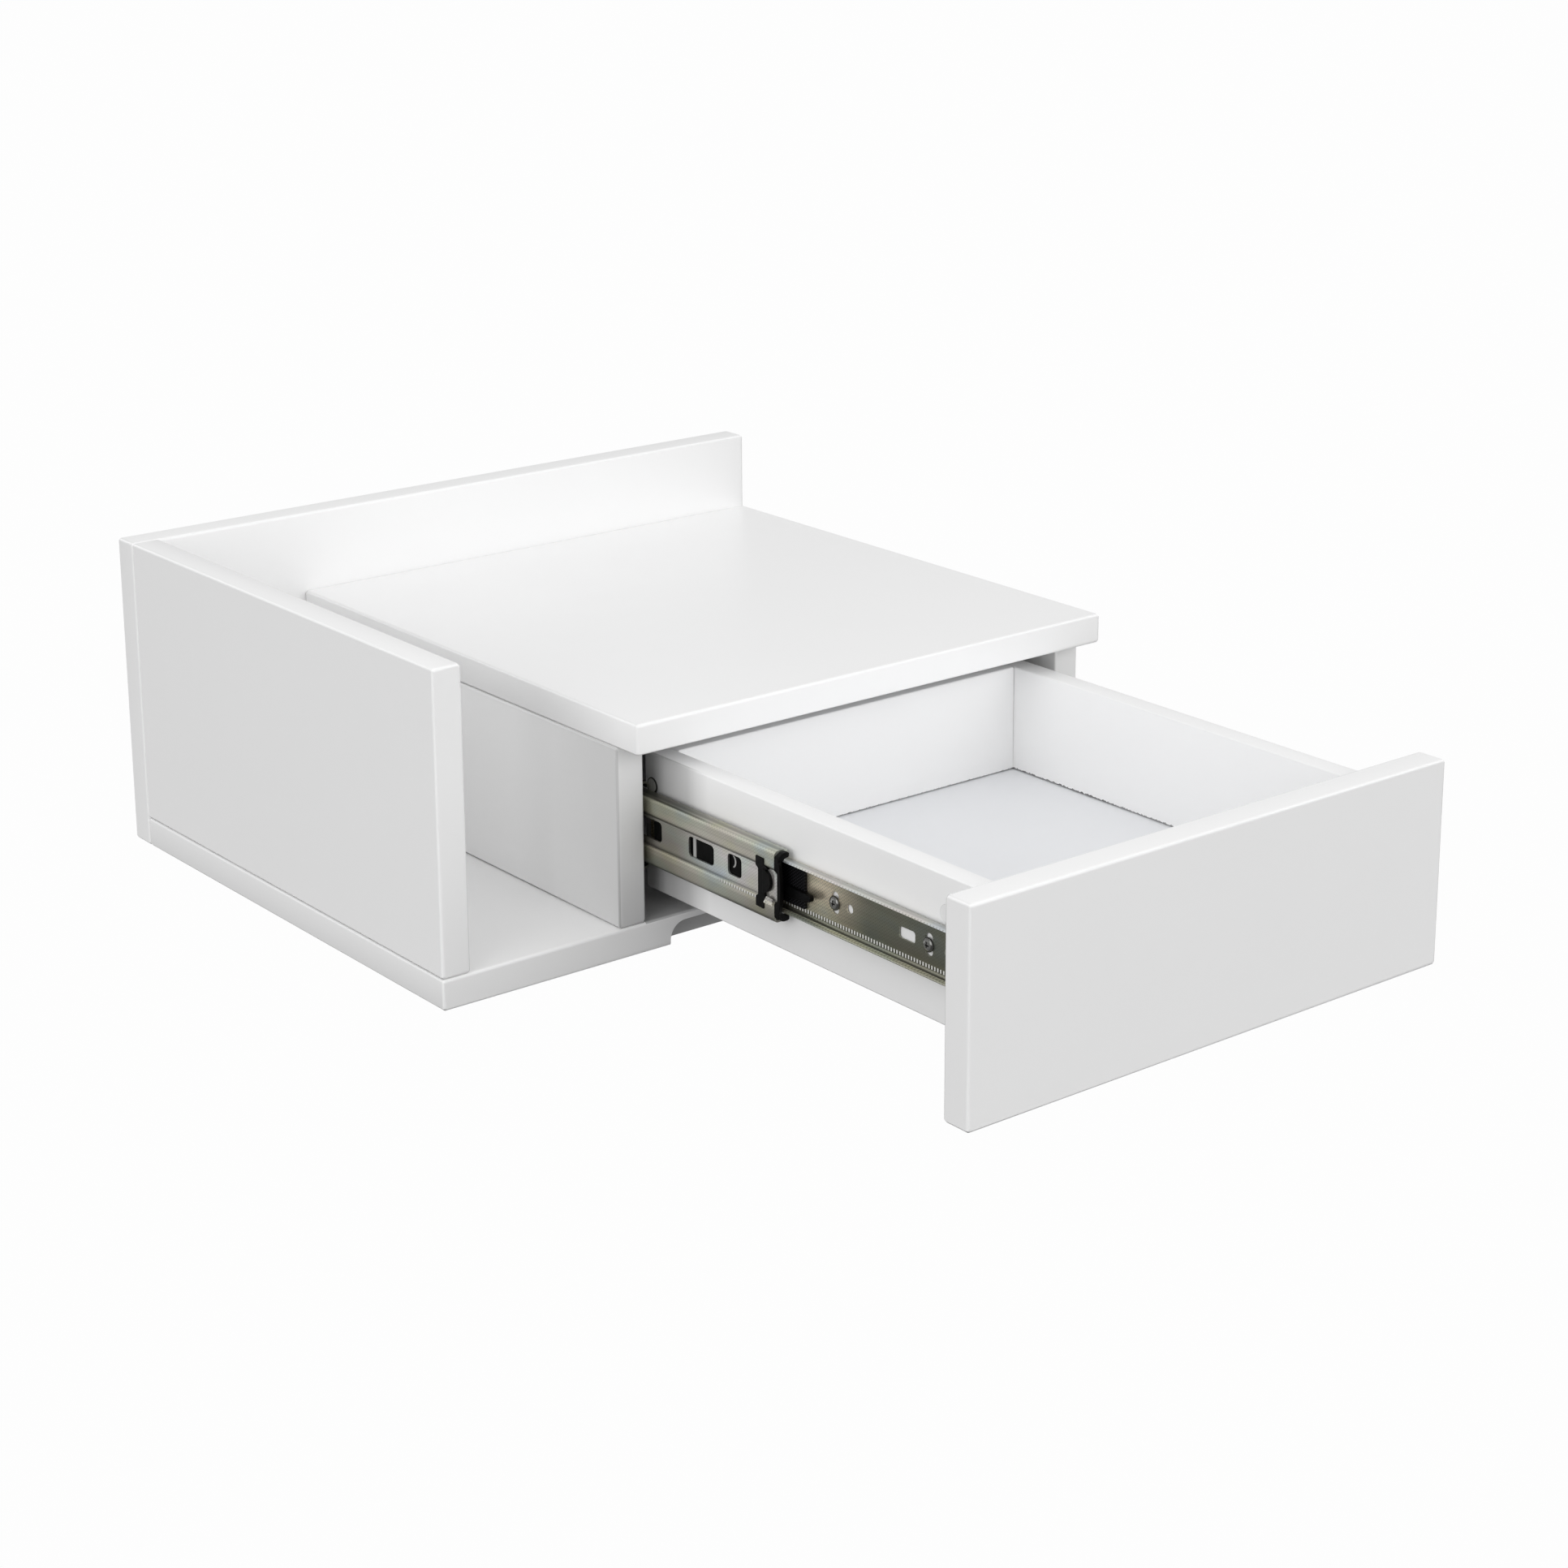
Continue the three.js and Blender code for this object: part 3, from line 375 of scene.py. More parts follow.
LACQUER_COLOUR = (0.92, 0.92, 0.92, 1)
# Painted highlight: the eased edges' colour, a touch brighter than the faces
LACQUER_EDGE_HIGHLIGHT = (0.93, 0.93, 0.93, 1)
EDGE_REACH = (0.2 * MM, 1.6 * MM)
CHIP_COLOUR = (0.035, 0.033, 0.03, 1)
CHIP_SCALE = 420
CHIP_SOFT = 0.08 * MM
CHIP_DEPTH = (0.8 * MM, 1.0 * MM)


def new_material(name):
    """A material with its principled shader and Object coordinates."""
    material = bpy.data.materials.new(name)
    material.use_nodes = True
    tree = material.node_tree
    return material, tree.nodes["Principled BSDF"], add_node("TexCoord", tree=tree).outputs["Object"]


def use_group(group, inputs):
    return add_node("Group", inputs, node_tree=group).outputs


def bump(height, depth, strength):
    inputs = {"Height": height, "Distance": depth, "Strength": strength}
    return add_node("Bump", inputs).outputs["Normal"]


def groove_chips(place, axis, face, height, width):
    """A ragged dark line just above a groove: the foil broke out by an uneven amount
    along the face that lies at `face` on the given axis."""
    parts = split(place)
    coarse = noise_node(place, CHIP_SCALE, 3.0, 0.65)
    reach = ramp_value(coarse, 0.36, 0.62, width * 0.45, width * 1.25, smooth=False)
    inside = above(minus(reach, minus(parts["Z"], height)), 0, CHIP_SOFT)
    off_face = math_node("ABSOLUTE", minus(parts[axis], face))
    return times(inside, ramp_value(off_face, *CHIP_DEPTH, 1.0, 0.0))


def lacquer_material(name, low, high, colour, edge_highlight, roughness, groove=None, painted_light_and_shade=()):
    """Satin white lacquer over a board between two corners. The eased edges carry a faint
    painted highlight and are a touch smoother. `groove` names the face, height and width of a
    chip line. Each entry of the last argument is an axis, a row of (place in millimetres,
    share of tone) and its limits: painted light and shade on the board's faces."""
    material, shader, place = new_material(name)
    edge = use_group(EDGE_GROUP, {
        "Place": place, "Centre": [(a + b) / 2 for a, b in zip(low, high)],
        "Half Size": [(b - a) / 2 for a, b in zip(low, high)]})
    skin = use_group(LACQUER_GROUP, {"Place": place})
    # Painted highlight along the eased edges, which are also a little smoother
    near = ramp_value(edge["Distance"], *EDGE_REACH, 1.0, 0.0)
    base = mix_colour(near, colour, edge_highlight)
    if groove:
        base = mix_colour(groove_chips(place, *groove), base, CHIP_COLOUR)
    shade = ramp_value(skin["Blotch"], 0.3, 0.7)
    base = mix_colour(times(shade, 0.5), base, darker(colour, 0.985))
    # Painted light and shade along the board's faces
    for axis, stops, limits in painted_light_and_shade:
        base = scale_colour(base, local_share(place, axis, stops, limits))
    gloss = times_plus(skin["Blotch"], 0.08, roughness - 0.04)
    set_inputs(shader, {
        "Base Color": base, "Roughness": minus(gloss, times(near, 0.06)),
        "Normal": bump(skin["Height"], 0.03 * MM, 0.6)})
    return material


def plain_material(name, colour, roughness, metallic=0.0, grain=900, depth=0.02 * MM, sheen=0.5,
                   shades=None, dots=None):
    """A single-colour finish with a fine grain and a slow change of tone. `shades` is a
    slide and the tone by depth on it: painted shade that darkens what is sunk. `dots` is
    the colour of a fine pattern of dots."""
    material, shader, place = new_material(name)
    speck = noise_node(place, grain, 3.0, 0.55)
    cloud = ramp_value(noise_node(place, 45), 0.3, 0.7)
    base = mix_colour(cloud, colour, darker(colour, 0.88))
    if dots:
        skin = use_group(ZINC_GROUP, {"Place": place})
        base = mix_colour(ramp_value(skin["Dots"], 0.5, 0.9), base, dots)
    # Painted shade by depth
    if shades:
        slide, stops = shades
        depth_here = slide_depth(slide, split(place)["X"])
        base = scale_colour(base, tone_profile(depth_here, 0, stops))
    set_inputs(shader, {
        "Base Color": base, "Metallic": metallic, "Specular IOR Level": sheen,
        "Roughness": times_plus(speck, 0.16, roughness - 0.08), "Normal": bump(speck, depth, 0.7)})
    return material


# Plated steel

LEDGE_HEIGHT = 17.1
LEDGE_DEPTH = 2.0
LEDGE_INNER = (2.6 * MM, 3.2 * MM)
FOOT_HEIGHT = -11.4
RACE_SOFT = 0.2 * MM
CROWN_SOFT = 0.15 * MM
TICK_TONE = (0.72, 0.72, 0.70, 1)
TICK_PITCH = 2.0 * MM
METAL_SHARE = 0.8


class Zinc:
    """The tone of one plated rail, much of it painted light and shade. `fade` gives two Y
    places, and the tone passes from `colour` to the painted shade of `dark` between them.
    The optional parts: `web` names two heights, two tones and two Y places for the plainer
    grey of a pressed web, whose second tone is a painted shade; `ticks` gives two heights
    and two Y places between which a bend carries a row of short bright strokes; `rows` is
    the painted light and shade by height; `ledge` is the painted light and shade by depth on
    what lies above LEDGE_HEIGHT or nearer than LEDGE_DEPTH, and `ledge_fade` dims it with
    painted shade between two Y places; `foot` is the painted light and shade by depth on the
    races below; `crown` is a height, two tones and two depths for a painted highlight on the
    races on top."""

    def __init__(self, colour, dark, roughness, fade, tint, dots, web=None, ticks=None, rows=None,
                 ledge=None, ledge_fade=None, foot=None, crown=None):
        self.colour, self.dark, self.roughness = colour, dark, roughness
        self.fade, self.tint, self.dots = fade, tint, dots
        self.web, self.ticks, self.rows = web, ticks, rows
        self.ledge, self.ledge_fade, self.foot, self.crown = ledge, ledge_fade, foot, crown


def slide_depth(slide, x):
    """Depth from the panel that carries a slide, in metres."""
    return times(minus(x, slide.face), slide.side)


def ledge_share(zinc, slide, depth, y, z):
    """Painted light and shade on the top flange and on the lanced tongue, with painted shade
    dimming the flange's deeper part towards the rear; one elsewhere.
    """
    front, rear, rear_share = zinc.ledge_fade
    inner = ramp_value(depth, *LEDGE_INNER)
    faded = times(inner, ramp_value(y, front, rear, 1.0, rear_share))
    dimmed = plus(faded, minus(1.0, inner))
    share = times(tone_profile(depth, 0, zinc.ledge), dimmed)
    near = ramp_value(depth, LEDGE_DEPTH * MM, (LEDGE_DEPTH + 0.1) * MM, 1.0, 0.0)
    mask = math_node("MAXIMUM", above(z, slide.high(LEDGE_HEIGHT), RACE_SOFT), near)
    return plus(times(mask, minus(share, 1.0)), 1.0)


def foot_colour(zinc, slide, base, depth, z):
    """The grey of the races below, with painted light and shade by depth."""
    tone = scale_colour(zinc.dark[:3], tone_profile(depth, 0, zinc.foot))
    return mix_colour(below(z, slide.high(FOOT_HEIGHT), RACE_SOFT), base, tone)


def crown_colour(zinc, slide, base, depth, z):
    """A painted highlight on the races on top of a rail, brightest at the lip."""
    height, lip, back, lip_depth, back_depth = zinc.crown
    tone = mix_colour(ramp_value(depth, lip_depth * MM, back_depth * MM), lip, back)
    return mix_colour(above(z, slide.high(height), CROWN_SOFT), base, tone)


def rail_tone(zinc, slide, place):
    """The tone of a rail by place, largely painted light and shade, before the lines, dots and
    hue of its plating.
    """
    x, y, z = split(place)
    depth = slide_depth(slide, x)
    base = mix_colour(ramp_value(y, zinc.fade[1], zinc.fade[0]), zinc.dark, zinc.colour)
    if zinc.web:
        low, high, web_front, web_rear, web_fade = zinc.web
        web_tone = mix_colour(ramp_value(y, *web_fade), web_front, web_rear)
        base = mix_colour(band_mask(z, low, high, 0.1 * MM), base, web_tone)
    if zinc.rows:
        base = scale_colour(base, tone_profile(z, slide.centre, zinc.rows))
    if zinc.ledge:
        base = scale_colour(base, ledge_share(zinc, slide, depth, y, z))
    if zinc.foot:
        base = foot_colour(zinc, slide, base, depth, z)
    if zinc.crown:
        base = crown_colour(zinc, slide, base, depth, z)
    return base


def tick_masks(zinc, place):
    """Where a bend carries its row of strokes, and where each of them is bright."""
    low, high, front, rear = zinc.ticks
    _, y, z = split(place)
    row = times(band_mask(z, low, high, 0.12 * MM), band_mask(y, front, rear, 4 * MM))
    stroke = math_node("SINE", times(y, 2 * math.pi / TICK_PITCH))
    return row, times(row, ramp_value(stroke, -0.4, 0.5))


def zinc_material(name, slide, zinc):
    """Plated sheet steel for one rail of a slide."""
    material, shader, place = new_material(name)
    skin = use_group(ZINC_GROUP, {"Place": place})
    tinted = mix_colour(zinc.tint, rail_tone(zinc, slide, place), skin["Hue"], "MULTIPLY")
    deep = darker(zinc.dark, 0.5)
    lined = mix_colour(ramp_value(skin["Lines"], 0.44, 0.66, 0.0, 0.16), tinted, deep)
    finish = mix_colour(ramp_value(skin["Dots"], 0.5, 0.95, 0.0, zinc.dots), lined, deep)
    metallic = METAL_SHARE
    if zinc.ticks:
        row, bright = tick_masks(zinc, place)
        finish = mix_colour(times(row, 0.6), finish, darker(zinc.dark, 0.25))
        finish = mix_colour(bright, finish, TICK_TONE)
        metallic = times_plus(bright, -METAL_SHARE, METAL_SHARE)
    height = plus(times(skin["Lines"], 0.6), times(skin["Dots"], 0.25))
    set_inputs(shader, {
        "Base Color": finish, "Metallic": metallic, "Normal": bump(height, 0.02 * MM, 0.8),
        "Roughness": times_plus(skin["Lines"], 0.12, zinc.roughness - 0.06)})
    return material


# Mesh builders

SMOOTH_ANGLE = 40.0
WELD_DISTANCE = 1e-7


def fillet_path(corners, closed, step_angle=12.0):
    """A path of (a, b, radius) corners with each corner rounded by an arc that touches
    both of its sides. Returns the points as an array."""
    count = len(corners)
    spots = np.array([corner[:2] for corner in corners], float)
    pieces = []
    for index, (*_, radius) in enumerate(corners):
        inner = closed or 0 < index < count - 1
        if radius <= 0 or not inner:
            pieces.append(spots[index:index + 1])
            continue
        here = spots[index]
        to_last = spots[index - 1] - here
        to_next = spots[(index + 1) % count] - here
        to_last /= np.linalg.norm(to_last)
        to_next /= np.linalg.norm(to_next)
        half = math.acos(float(np.clip(to_last @ to_next, -1, 1))) / 2
        along = (to_last + to_next) / np.linalg.norm(to_last + to_next)
        centre = here + along * radius / math.sin(half)
        first = here + to_last * radius / math.tan(half) - centre
        sweep = math.pi - 2 * half
        turn = np.sign(to_next[0] * to_last[1] - to_next[1] * to_last[0])
        steps = max(2, math.ceil(math.degrees(sweep) / step_angle))
        angles = np.linspace(0, sweep, steps + 1) * turn
        cos, sin = np.cos(angles), np.sin(angles)
        pieces.append(np.stack((centre[0] + first[0] * cos - first[1] * sin,
                                centre[1] + first[0] * sin + first[1] * cos), axis=1))
    return np.concatenate(pieces)


def arc(centre, radius, start, stop, steps):
    """Points on an arc, with one radius along each axis and angles in degrees."""
    angles = np.radians(np.linspace(start, stop, steps))
    return np.stack((centre[0] + radius[0] * np.cos(angles), centre[1] + radius[1] * np.sin(angles)), 1)


def rounded_box(y, length, z, height, radius):
    """A rounded rectangle about a centre in Y and height."""
    turns = ((-1, -1), (1, -1), (1, 1), (-1, 1))
    return fillet_path([(y + a * length / 2, z + b * height / 2, radius) for a, b in turns], True)


def mirrored(upper):
    """The upper half of a section, then its mirror image below."""
    upper = np.asarray(upper, float)
    return np.vstack((upper, (upper * [1, -1])[::-1]))


def strip_outline(centre_line, gauge):
    """The closed outline of a bent sheet: the centre line moved half the gauge to each
    side, with the corners mitred."""
    line = np.asarray(centre_line, float)
    steps = np.diff(line, axis=0)
    steps /= np.linalg.norm(steps, axis=1)[:, None]
    before = np.vstack((steps[:1], steps))
    after = np.vstack((steps, steps[-1:]))
    normal = np.stack((-(before + after)[:, 1], (before + after)[:, 0]), axis=1)
    normal /= np.linalg.norm(normal, axis=1)[:, None]
    spread = normal[:, 0] * -before[:, 1] + normal[:, 1] * before[:, 0]
    offset = normal * (gauge / 2 / spread)[:, None]
    return np.vstack((line + offset, (line - offset)[::-1]))


def swept_faces(ring, rows, strip=False):
    """Quads between neighbouring rings of points, and two ends: pairs of facing points
    for a bent sheet, one flat face otherwise."""
    r, i = np.meshgrid(np.arange(rows - 1), np.arange(ring), indexing="ij")
    j = (i + 1) % ring
    sides = np.stack((r * ring + i, r * ring + j, (r + 1) * ring + j, (r + 1) * ring + i), -1)
    faces = sides.reshape(-1, 4).tolist()
    top = (rows - 1) * ring
    if strip:
        k = np.arange(ring // 2 - 1)
        quads = np.stack((k, ring - 1 - k, ring - 2 - k, k + 1), -1)
        faces += quads.tolist() + (quads[:, ::-1] + top).tolist()
    else:
        faces.append(list(range(ring))[::-1])
        faces.append([top + n for n in range(ring)])
    return faces


def merged(shells):
    """The points and faces of several shells as those of one mesh."""
    points, faces, total = [], [], 0
    for shell_points, shell_faces in shells:
        points.append(shell_points)
        faces += [[total + n for n in face] for face in shell_faces]
        total += len(shell_points)
    return np.vstack(points), faces


def smooth(mesh):
    """Smooth shading, except over sharp edges."""
    mesh.shade_smooth()
    mesh.set_sharp_from_angle(angle=math.radians(SMOOTH_ANGLE))


def make_piece(name, points, faces, material=None):
    """A closed mesh from arrays, faces outward."""
    mesh = bpy.data.meshes.new(name)
    mesh.from_pydata(np.asarray(points).tolist(), [], faces)
    work = bmesh.new()
    work.from_mesh(mesh)
    bmesh.ops.remove_doubles(work, verts=work.verts, dist=WELD_DISTANCE)
    bmesh.ops.recalc_face_normals(work, faces=work.faces)
    if work.calc_volume(signed=True) < 0:
        bmesh.ops.reverse_faces(work, faces=work.faces)
    work.to_mesh(mesh)
    work.free()
    if material is not None:
        mesh.materials.append(material)
    smooth(mesh)
    return add_object(name, mesh)


def bevel(piece, width, segments=2, angle=35.0):
    """Rolled edges. The modifier stays, with the same levels in view and render."""
    modifier = piece.modifiers.new("eased_edges", "BEVEL")
    modifier.width = width
    modifier.segments = segments
    modifier.limit_method = "ANGLE"
    modifier.angle_limit = math.radians(angle)
    modifier.harden_normals = True
    return piece


def make_shells(shells):
    """Each shell of points and faces as a piece of its own."""
    return [make_piece("shell", *shell) for shell in shells]


def discard(pieces):
    """Deletes pieces with their meshes."""
    for piece in pieces:
        mesh = piece.data
        bpy.data.objects.remove(piece)
        bpy.data.meshes.remove(mesh)


def cut_out(piece, shells):
    """Takes closed shells out of a piece for good."""
    cutters = make_shells(shells)
    for cutter in cutters:
        modifier = piece.modifiers.new("cut", "BOOLEAN")
        modifier.operation = "DIFFERENCE"
        modifier.solver = "EXACT"
        modifier.object = cutter
    bpy.context.view_layer.update()
    shown = piece.evaluated_get(bpy.context.evaluated_depsgraph_get())
    mesh = bpy.data.meshes.new_from_object(shown)
    piece.modifiers.clear()
    old = piece.data
    piece.data = mesh
    mesh.name = old.name
    bpy.data.meshes.remove(old)
    discard(cutters)
    smooth(mesh)
    return piece


def add_shells(piece, shells):
    """Adds closed shells to a piece."""
    others = make_shells(shells)
    whole = bmesh.new()
    for part in (piece, *others):
        whole.from_mesh(part.data)
    whole.to_mesh(piece.data)
    whole.free()
    discard(others)
    smooth(piece.data)
    return piece


# Slides. One slide is described by the depth u from the panel that carries it, the
# height above its centre line and the true place along Y, all in millimetres.

CUT_DEPTHS = (-3.0, 16.0)


class Slide:
    def __init__(self, label):
        low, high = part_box(f"cabinet_rail_{label}")
        self.label = label
        self.side = 1 if label == "left" else -1
        self.face = low.x if label == "left" else high.x
        self.centre = (low.z + high.z) / 2

    def high(self, z):
        """A height above the centre line to a place in metres."""
        return self.centre + z * MM

    def points(self, u, y, z):
        """Slide sizes in millimetres to places in metres."""
        places = (self.face + self.side * u * MM, y * MM, self.centre + z * MM)
        return np.stack(np.broadcast_arrays(*places), axis=-1).reshape(-1, 3)

    def span(self, piece):
        """Rear and front places of a CAD node along Y, in millimetres."""
        low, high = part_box(f"{piece}_{self.label}")
        return high.y / MM, low.y / MM

    def sweep(self, outline, rear, front, strip=False):
        """The shell of a section in u and height pushed along Y."""
        u, z = np.asarray(outline, float).T
        points = self.points(np.tile(u, 2), np.repeat([rear, front], len(u)), np.tile(z, 2))
        return points, swept_faces(len(u), 2, strip)

    def plate(self, outline, near, far):
        """The shell of a plate with an outline in Y and height, between two depths."""
        y, z = np.asarray(outline, float).T
        points = self.points(np.repeat([near, far], len(y)), np.tile(y, 2), np.tile(z, 2))
        return points, swept_faces(len(y), 2)

    def lathe(self, profile, y, z, around):
        """The shell of a turned piece: a profile of (radius, depth) pairs from one end of
        an axis along u to the other, carried round it in equal steps."""
        radius, depth = np.asarray(profile, float).T[:, :, None]
        angles = np.linspace(0, 2 * np.pi, around, endpoint=False)
        points = self.points(depth + 0 * angles, y + radius * np.cos(angles), z + radius * np.sin(angles))
        return points, swept_faces(around, len(profile))

    def through(self, outline):
        """The shell of a cutter that goes through every wall at an outline."""
        return self.plate(outline, *CUT_DEPTHS)

    def piece(self, name, shell, material):
        return make_piece(f"visual_{name}_{self.label}", *shell, material)


# Middle rail with its end cap and stop clip. A corner is two places and a fillet radius.

MIDDLE_GAUGE = 1.0
BAND_DEPTH = 2.7
WEB_DEPTH = 3.7
BAND_END = 12.0
STEP_TOP = 9.2
STEP_BOTTOM = 8.2
STEP_LENGTH = 1.0
STEP_FILLET = 0.4
FLANGE_LIP = ((8.9, 16.0), (1.1, 1.15), 0, 90, 6)
FLANGE_BEND = ((4.4, 15.15), (1.7, 2.0), 90, 180, 12)
LOWER_BEND_DROP = 0.35
# Middle, length and height of each window
WEB_WINDOWS = ((-310.0, 24.0, 10.3), (-354.0, 20.2, 10.2), (-380.4, 10.8, 10.5))
WINDOW_LIFT = 1.3
WINDOW_CORNER = 2.2
TONGUE_DEPTHS = (1.4, 1.9)
TONGUE_FOOT = -9.4
WEB_LIP = 1.9
WEB_LIP_HEIGHT = 7.4
WEB_LIP_DEPTHS = (2.75, 3.65)
CAP_ARM = ((2.25, 12.0, 0), (2.35, 15.2, 1.4), (5.4, 17.1, 2.2), (8.2, 17.1, 0.6), (9.1, 16.4, 0.5),
           (9.1, 14.9, 0.4), (8.4, 14.4, 0.3), (6.4, 14.1, 1.0), (4.3, 12.0, 0))
CAP_ARM_SETBACK = 1.6
CAP_BAR_DEPTHS = (2.25, 4.3)
CAP_BAR_HALF = 13.4
CAP_SWELL = 2.2
CLIP_DEPTHS = (1.7, 3.1)
CLIP_PAD = 6.0
CLIP_NECK = 1.8
# Corners of the clip, as steps forward from the rear edge, the neck or the pad's edge
CLIP_REAR = ((0, -7.8, 0.4), (0, -12.6, 0.4))
CLIP_FRONT = ((0, -12.9, 0.4), (0, -8.6, 0.3), (1.2, -7.0, 0.3), (0.4, -4.6, 0.5), (0.4, 6.6, 0.4),
              (3.2, 7.6, 0.3), (2.6, 8.4, 0.3), (0, 9.2, 0.3), (0, 12.3, 0.4))
CLIP_BOSS_DEPTHS = (1.45, 3.1)
CLIP_BOSS_SINK = 0.6
CLIP_BOSS_HEIGHT = 1.4
CLIP_BOSS_RADIUS = 5.9


def middle_rail(slide, material):
    """A shallow channel of bent sheet: a recessed web with a step up to two flat bands,
    a wide bend and two flanges whose ends turn in, pushed along Y. Its web has three
    windows and a lip in front, and a lanced tongue holds the stop from below."""
    bend = np.vstack((arc(*FLANGE_LIP), arc(*FLANGE_BEND)))
    web = fillet_path([
        (BAND_DEPTH, BAND_END, 0), (BAND_DEPTH, STEP_TOP, STEP_FILLET),
        (WEB_DEPTH, STEP_TOP - STEP_LENGTH, STEP_FILLET), (WEB_DEPTH, STEP_LENGTH - STEP_BOTTOM, STEP_FILLET),
        (BAND_DEPTH, -STEP_BOTTOM, STEP_FILLET), (BAND_DEPTH, -BAND_END, 0)], False)
    lower_bend = (bend + [0, LOWER_BEND_DROP]) * [1, -1]
    outline = strip_outline(np.vstack((bend, web, lower_bend[::-1])), MIDDLE_GAUGE)
    rear, front = slide.span("middle_rail")
    piece = slide.piece("middle_rail", slide.sweep(outline, rear, front, True), material)
    piece = cut_out(piece, [slide.through(rounded_box(y, length, WINDOW_LIFT, height, WINDOW_CORNER))
                            for y, length, height in WEB_WINDOWS])
    clip_front = slide.span("middle_rail_stop_clip")[0] - CLIP_PAD
    tongue = fillet_path([
        (clip_front, TONGUE_FOOT, 0.3), (clip_front - 2.6, -5.6, 0.3), (front + 0.6, -6.2, 0.3),
        (front + 0.6, TONGUE_FOOT, 0.3)], True, 20)
    lip = fillet_path([
        (front + 0.4, -WEB_LIP_HEIGHT, 0), (front + 0.4, WEB_LIP_HEIGHT, 0),
        (front - WEB_LIP, WEB_LIP_HEIGHT - 0.6, 0.4), (front - WEB_LIP, 0.6 - WEB_LIP_HEIGHT, 0.4)], True, 20)
    return add_shells(piece, [slide.plate(tongue, *TONGUE_DEPTHS), slide.plate(lip, *WEB_LIP_DEPTHS)])


def end_cap(slide, material):
    """The plastic cap in the middle rail's front end: a bar across the web whose front
    edge swells in a shallow arc, notched for the web's lip, and two arms that follow the
    flanges."""
    rear, front = slide.span("middle_rail_end_cap")
    arms = [slide.sweep(fillet_path(CAP_ARM, False) * [1, side], rear, front + CAP_ARM_SETBACK)
            for side in (1, -1)]
    swell = arc((front + CAP_SWELL, 0), (CAP_SWELL, CAP_BAR_HALF), 94, 266, 19)
    floor, slope = rear - WEB_LIP - 0.1, WEB_LIP_HEIGHT + 0.8
    notch = [[rear, -CAP_BAR_HALF], [rear, -slope], [floor, -WEB_LIP_HEIGHT], [floor, WEB_LIP_HEIGHT],
             [rear, slope], [rear, CAP_BAR_HALF]]
    bar = slide.piece("end_cap", slide.plate(np.vstack((notch, swell)), *CAP_BAR_DEPTHS), material)
    return bevel(add_shells(bar, arms), 0.25 * MM)


def stop_clip(slide, material):
    """The stop on the web: two pads joined by a narrower bar that carries a round boss,
    which stands out in a half circle beyond the bar's front edge."""
    rear, front = slide.span("middle_rail_stop_clip")
    pad, neck = rear - CLIP_PAD, rear - CLIP_NECK
    back = [(rear - step, z, radius) for step, z, radius in CLIP_REAR]
    upper = [(y, -z, radius) for y, z, radius in back[::-1]]
    waist = [(neck, 6.4, 0.3), (neck, -6.4, 0.3)]
    face = [(pad - step, z, radius) for step, z, radius in CLIP_FRONT]
    outline = fillet_path(upper + waist + back + face, True, 20)
    plate = slide.piece("stop_clip", slide.plate(outline, *CLIP_DEPTHS), material)
    middle = pad + CLIP_BOSS_SINK
    boss = arc((middle, CLIP_BOSS_HEIGHT), (middle - front, CLIP_BOSS_RADIUS), 90, 270, 25)
    return bevel(add_shells(plate, [slide.plate(boss, *CLIP_BOSS_DEPTHS)]), 0.15 * MM)


# Drawer rail with its latch, and the cabinet rail

INNER_GAUGE = 0.8
INNER_WEB = 12.2
RACE_CENTRE = (7.4, 14.65)
UPPER_RACE = (RACE_CENTRE, (2.35, 2.35), -138, -75, 8)
LOWER_RACE = (RACE_CENTRE, (2.5, 2.5), -128, -34, 12)
SLOT_PLACES = (-511.5, -445.5)
SLOT_SIZE = (5.0, 11.0, 2.45)
ROUND_HOLES = (-456.0, -524.0)
HOLE_RADIUS = 2.2
LONG_SLOT = (-496.4, 11.0, 5.6, 1.6)
OUTER_GAUGE = 1.2
OUTER_WEB = 0.6
OUTER_RACE = ((6, 19.65), (2.6, 2.6), -15, 90, 12)
OUTER_TOP = 22.25
RACE_SETBACK = 6.0
LATCH_DEPTHS = (10.2, 11.8)
LATCH_TOP = 10.5
LATCH_BOTTOM = -9.2
LEVER_PIVOT_INSET = 4.0
LEVER_DROP = 2.2
LEVER_DEPTHS = (7.2, 9.8)
LEVER_EYE = 3.4
# Radius and depth along the pivot pin
PIVOT_PIN = ((0.01, 6.2), (1.9, 6.2), (2.4, 6.5), (2.4, 6.85), (1.5, 6.9), (1.5, 11.0), (0.01, 11.0))


def drawer_rail(slide, material):
    """The innermost channel, fixed to the drawer: a flat web with a wide bend to two
    rolled races, slotted and holed for screws."""
    upper_bend = fillet_path([(9.4, 12.3, 0), (INNER_WEB, 12.2, 1.6), (INNER_WEB, 1.0, 0)], False)
    lower_bend = fillet_path([(9.9, 13.3, 0), (INNER_WEB, 13.2, 2.0), (INNER_WEB, 1.0, 0)], False)
    upper = np.vstack((arc(*UPPER_RACE), upper_bend))
    lower = np.vstack((arc(*LOWER_RACE), lower_bend[1:]))
    outline = strip_outline(np.vstack((upper, (lower * [1, -1])[::-1])), INNER_GAUGE)
    rear, front = slide.span("drawer_rail")
    piece = slide.piece("drawer_rail", slide.sweep(outline, rear, front, True), material)
    width, height, corner = SLOT_SIZE
    cutters = [slide.through(rounded_box(y, width, 0, height, corner)) for y in SLOT_PLACES]
    cutters += [slide.through(arc((y, 0), (HOLE_RADIUS, HOLE_RADIUS), 0, 345, 24)) for y in ROUND_HOLES]
    y, length, height, corner = LONG_SLOT
    cutters.append(slide.through(rounded_box(y, length, 0, height, corner)))
    return cut_out(piece, cutters)


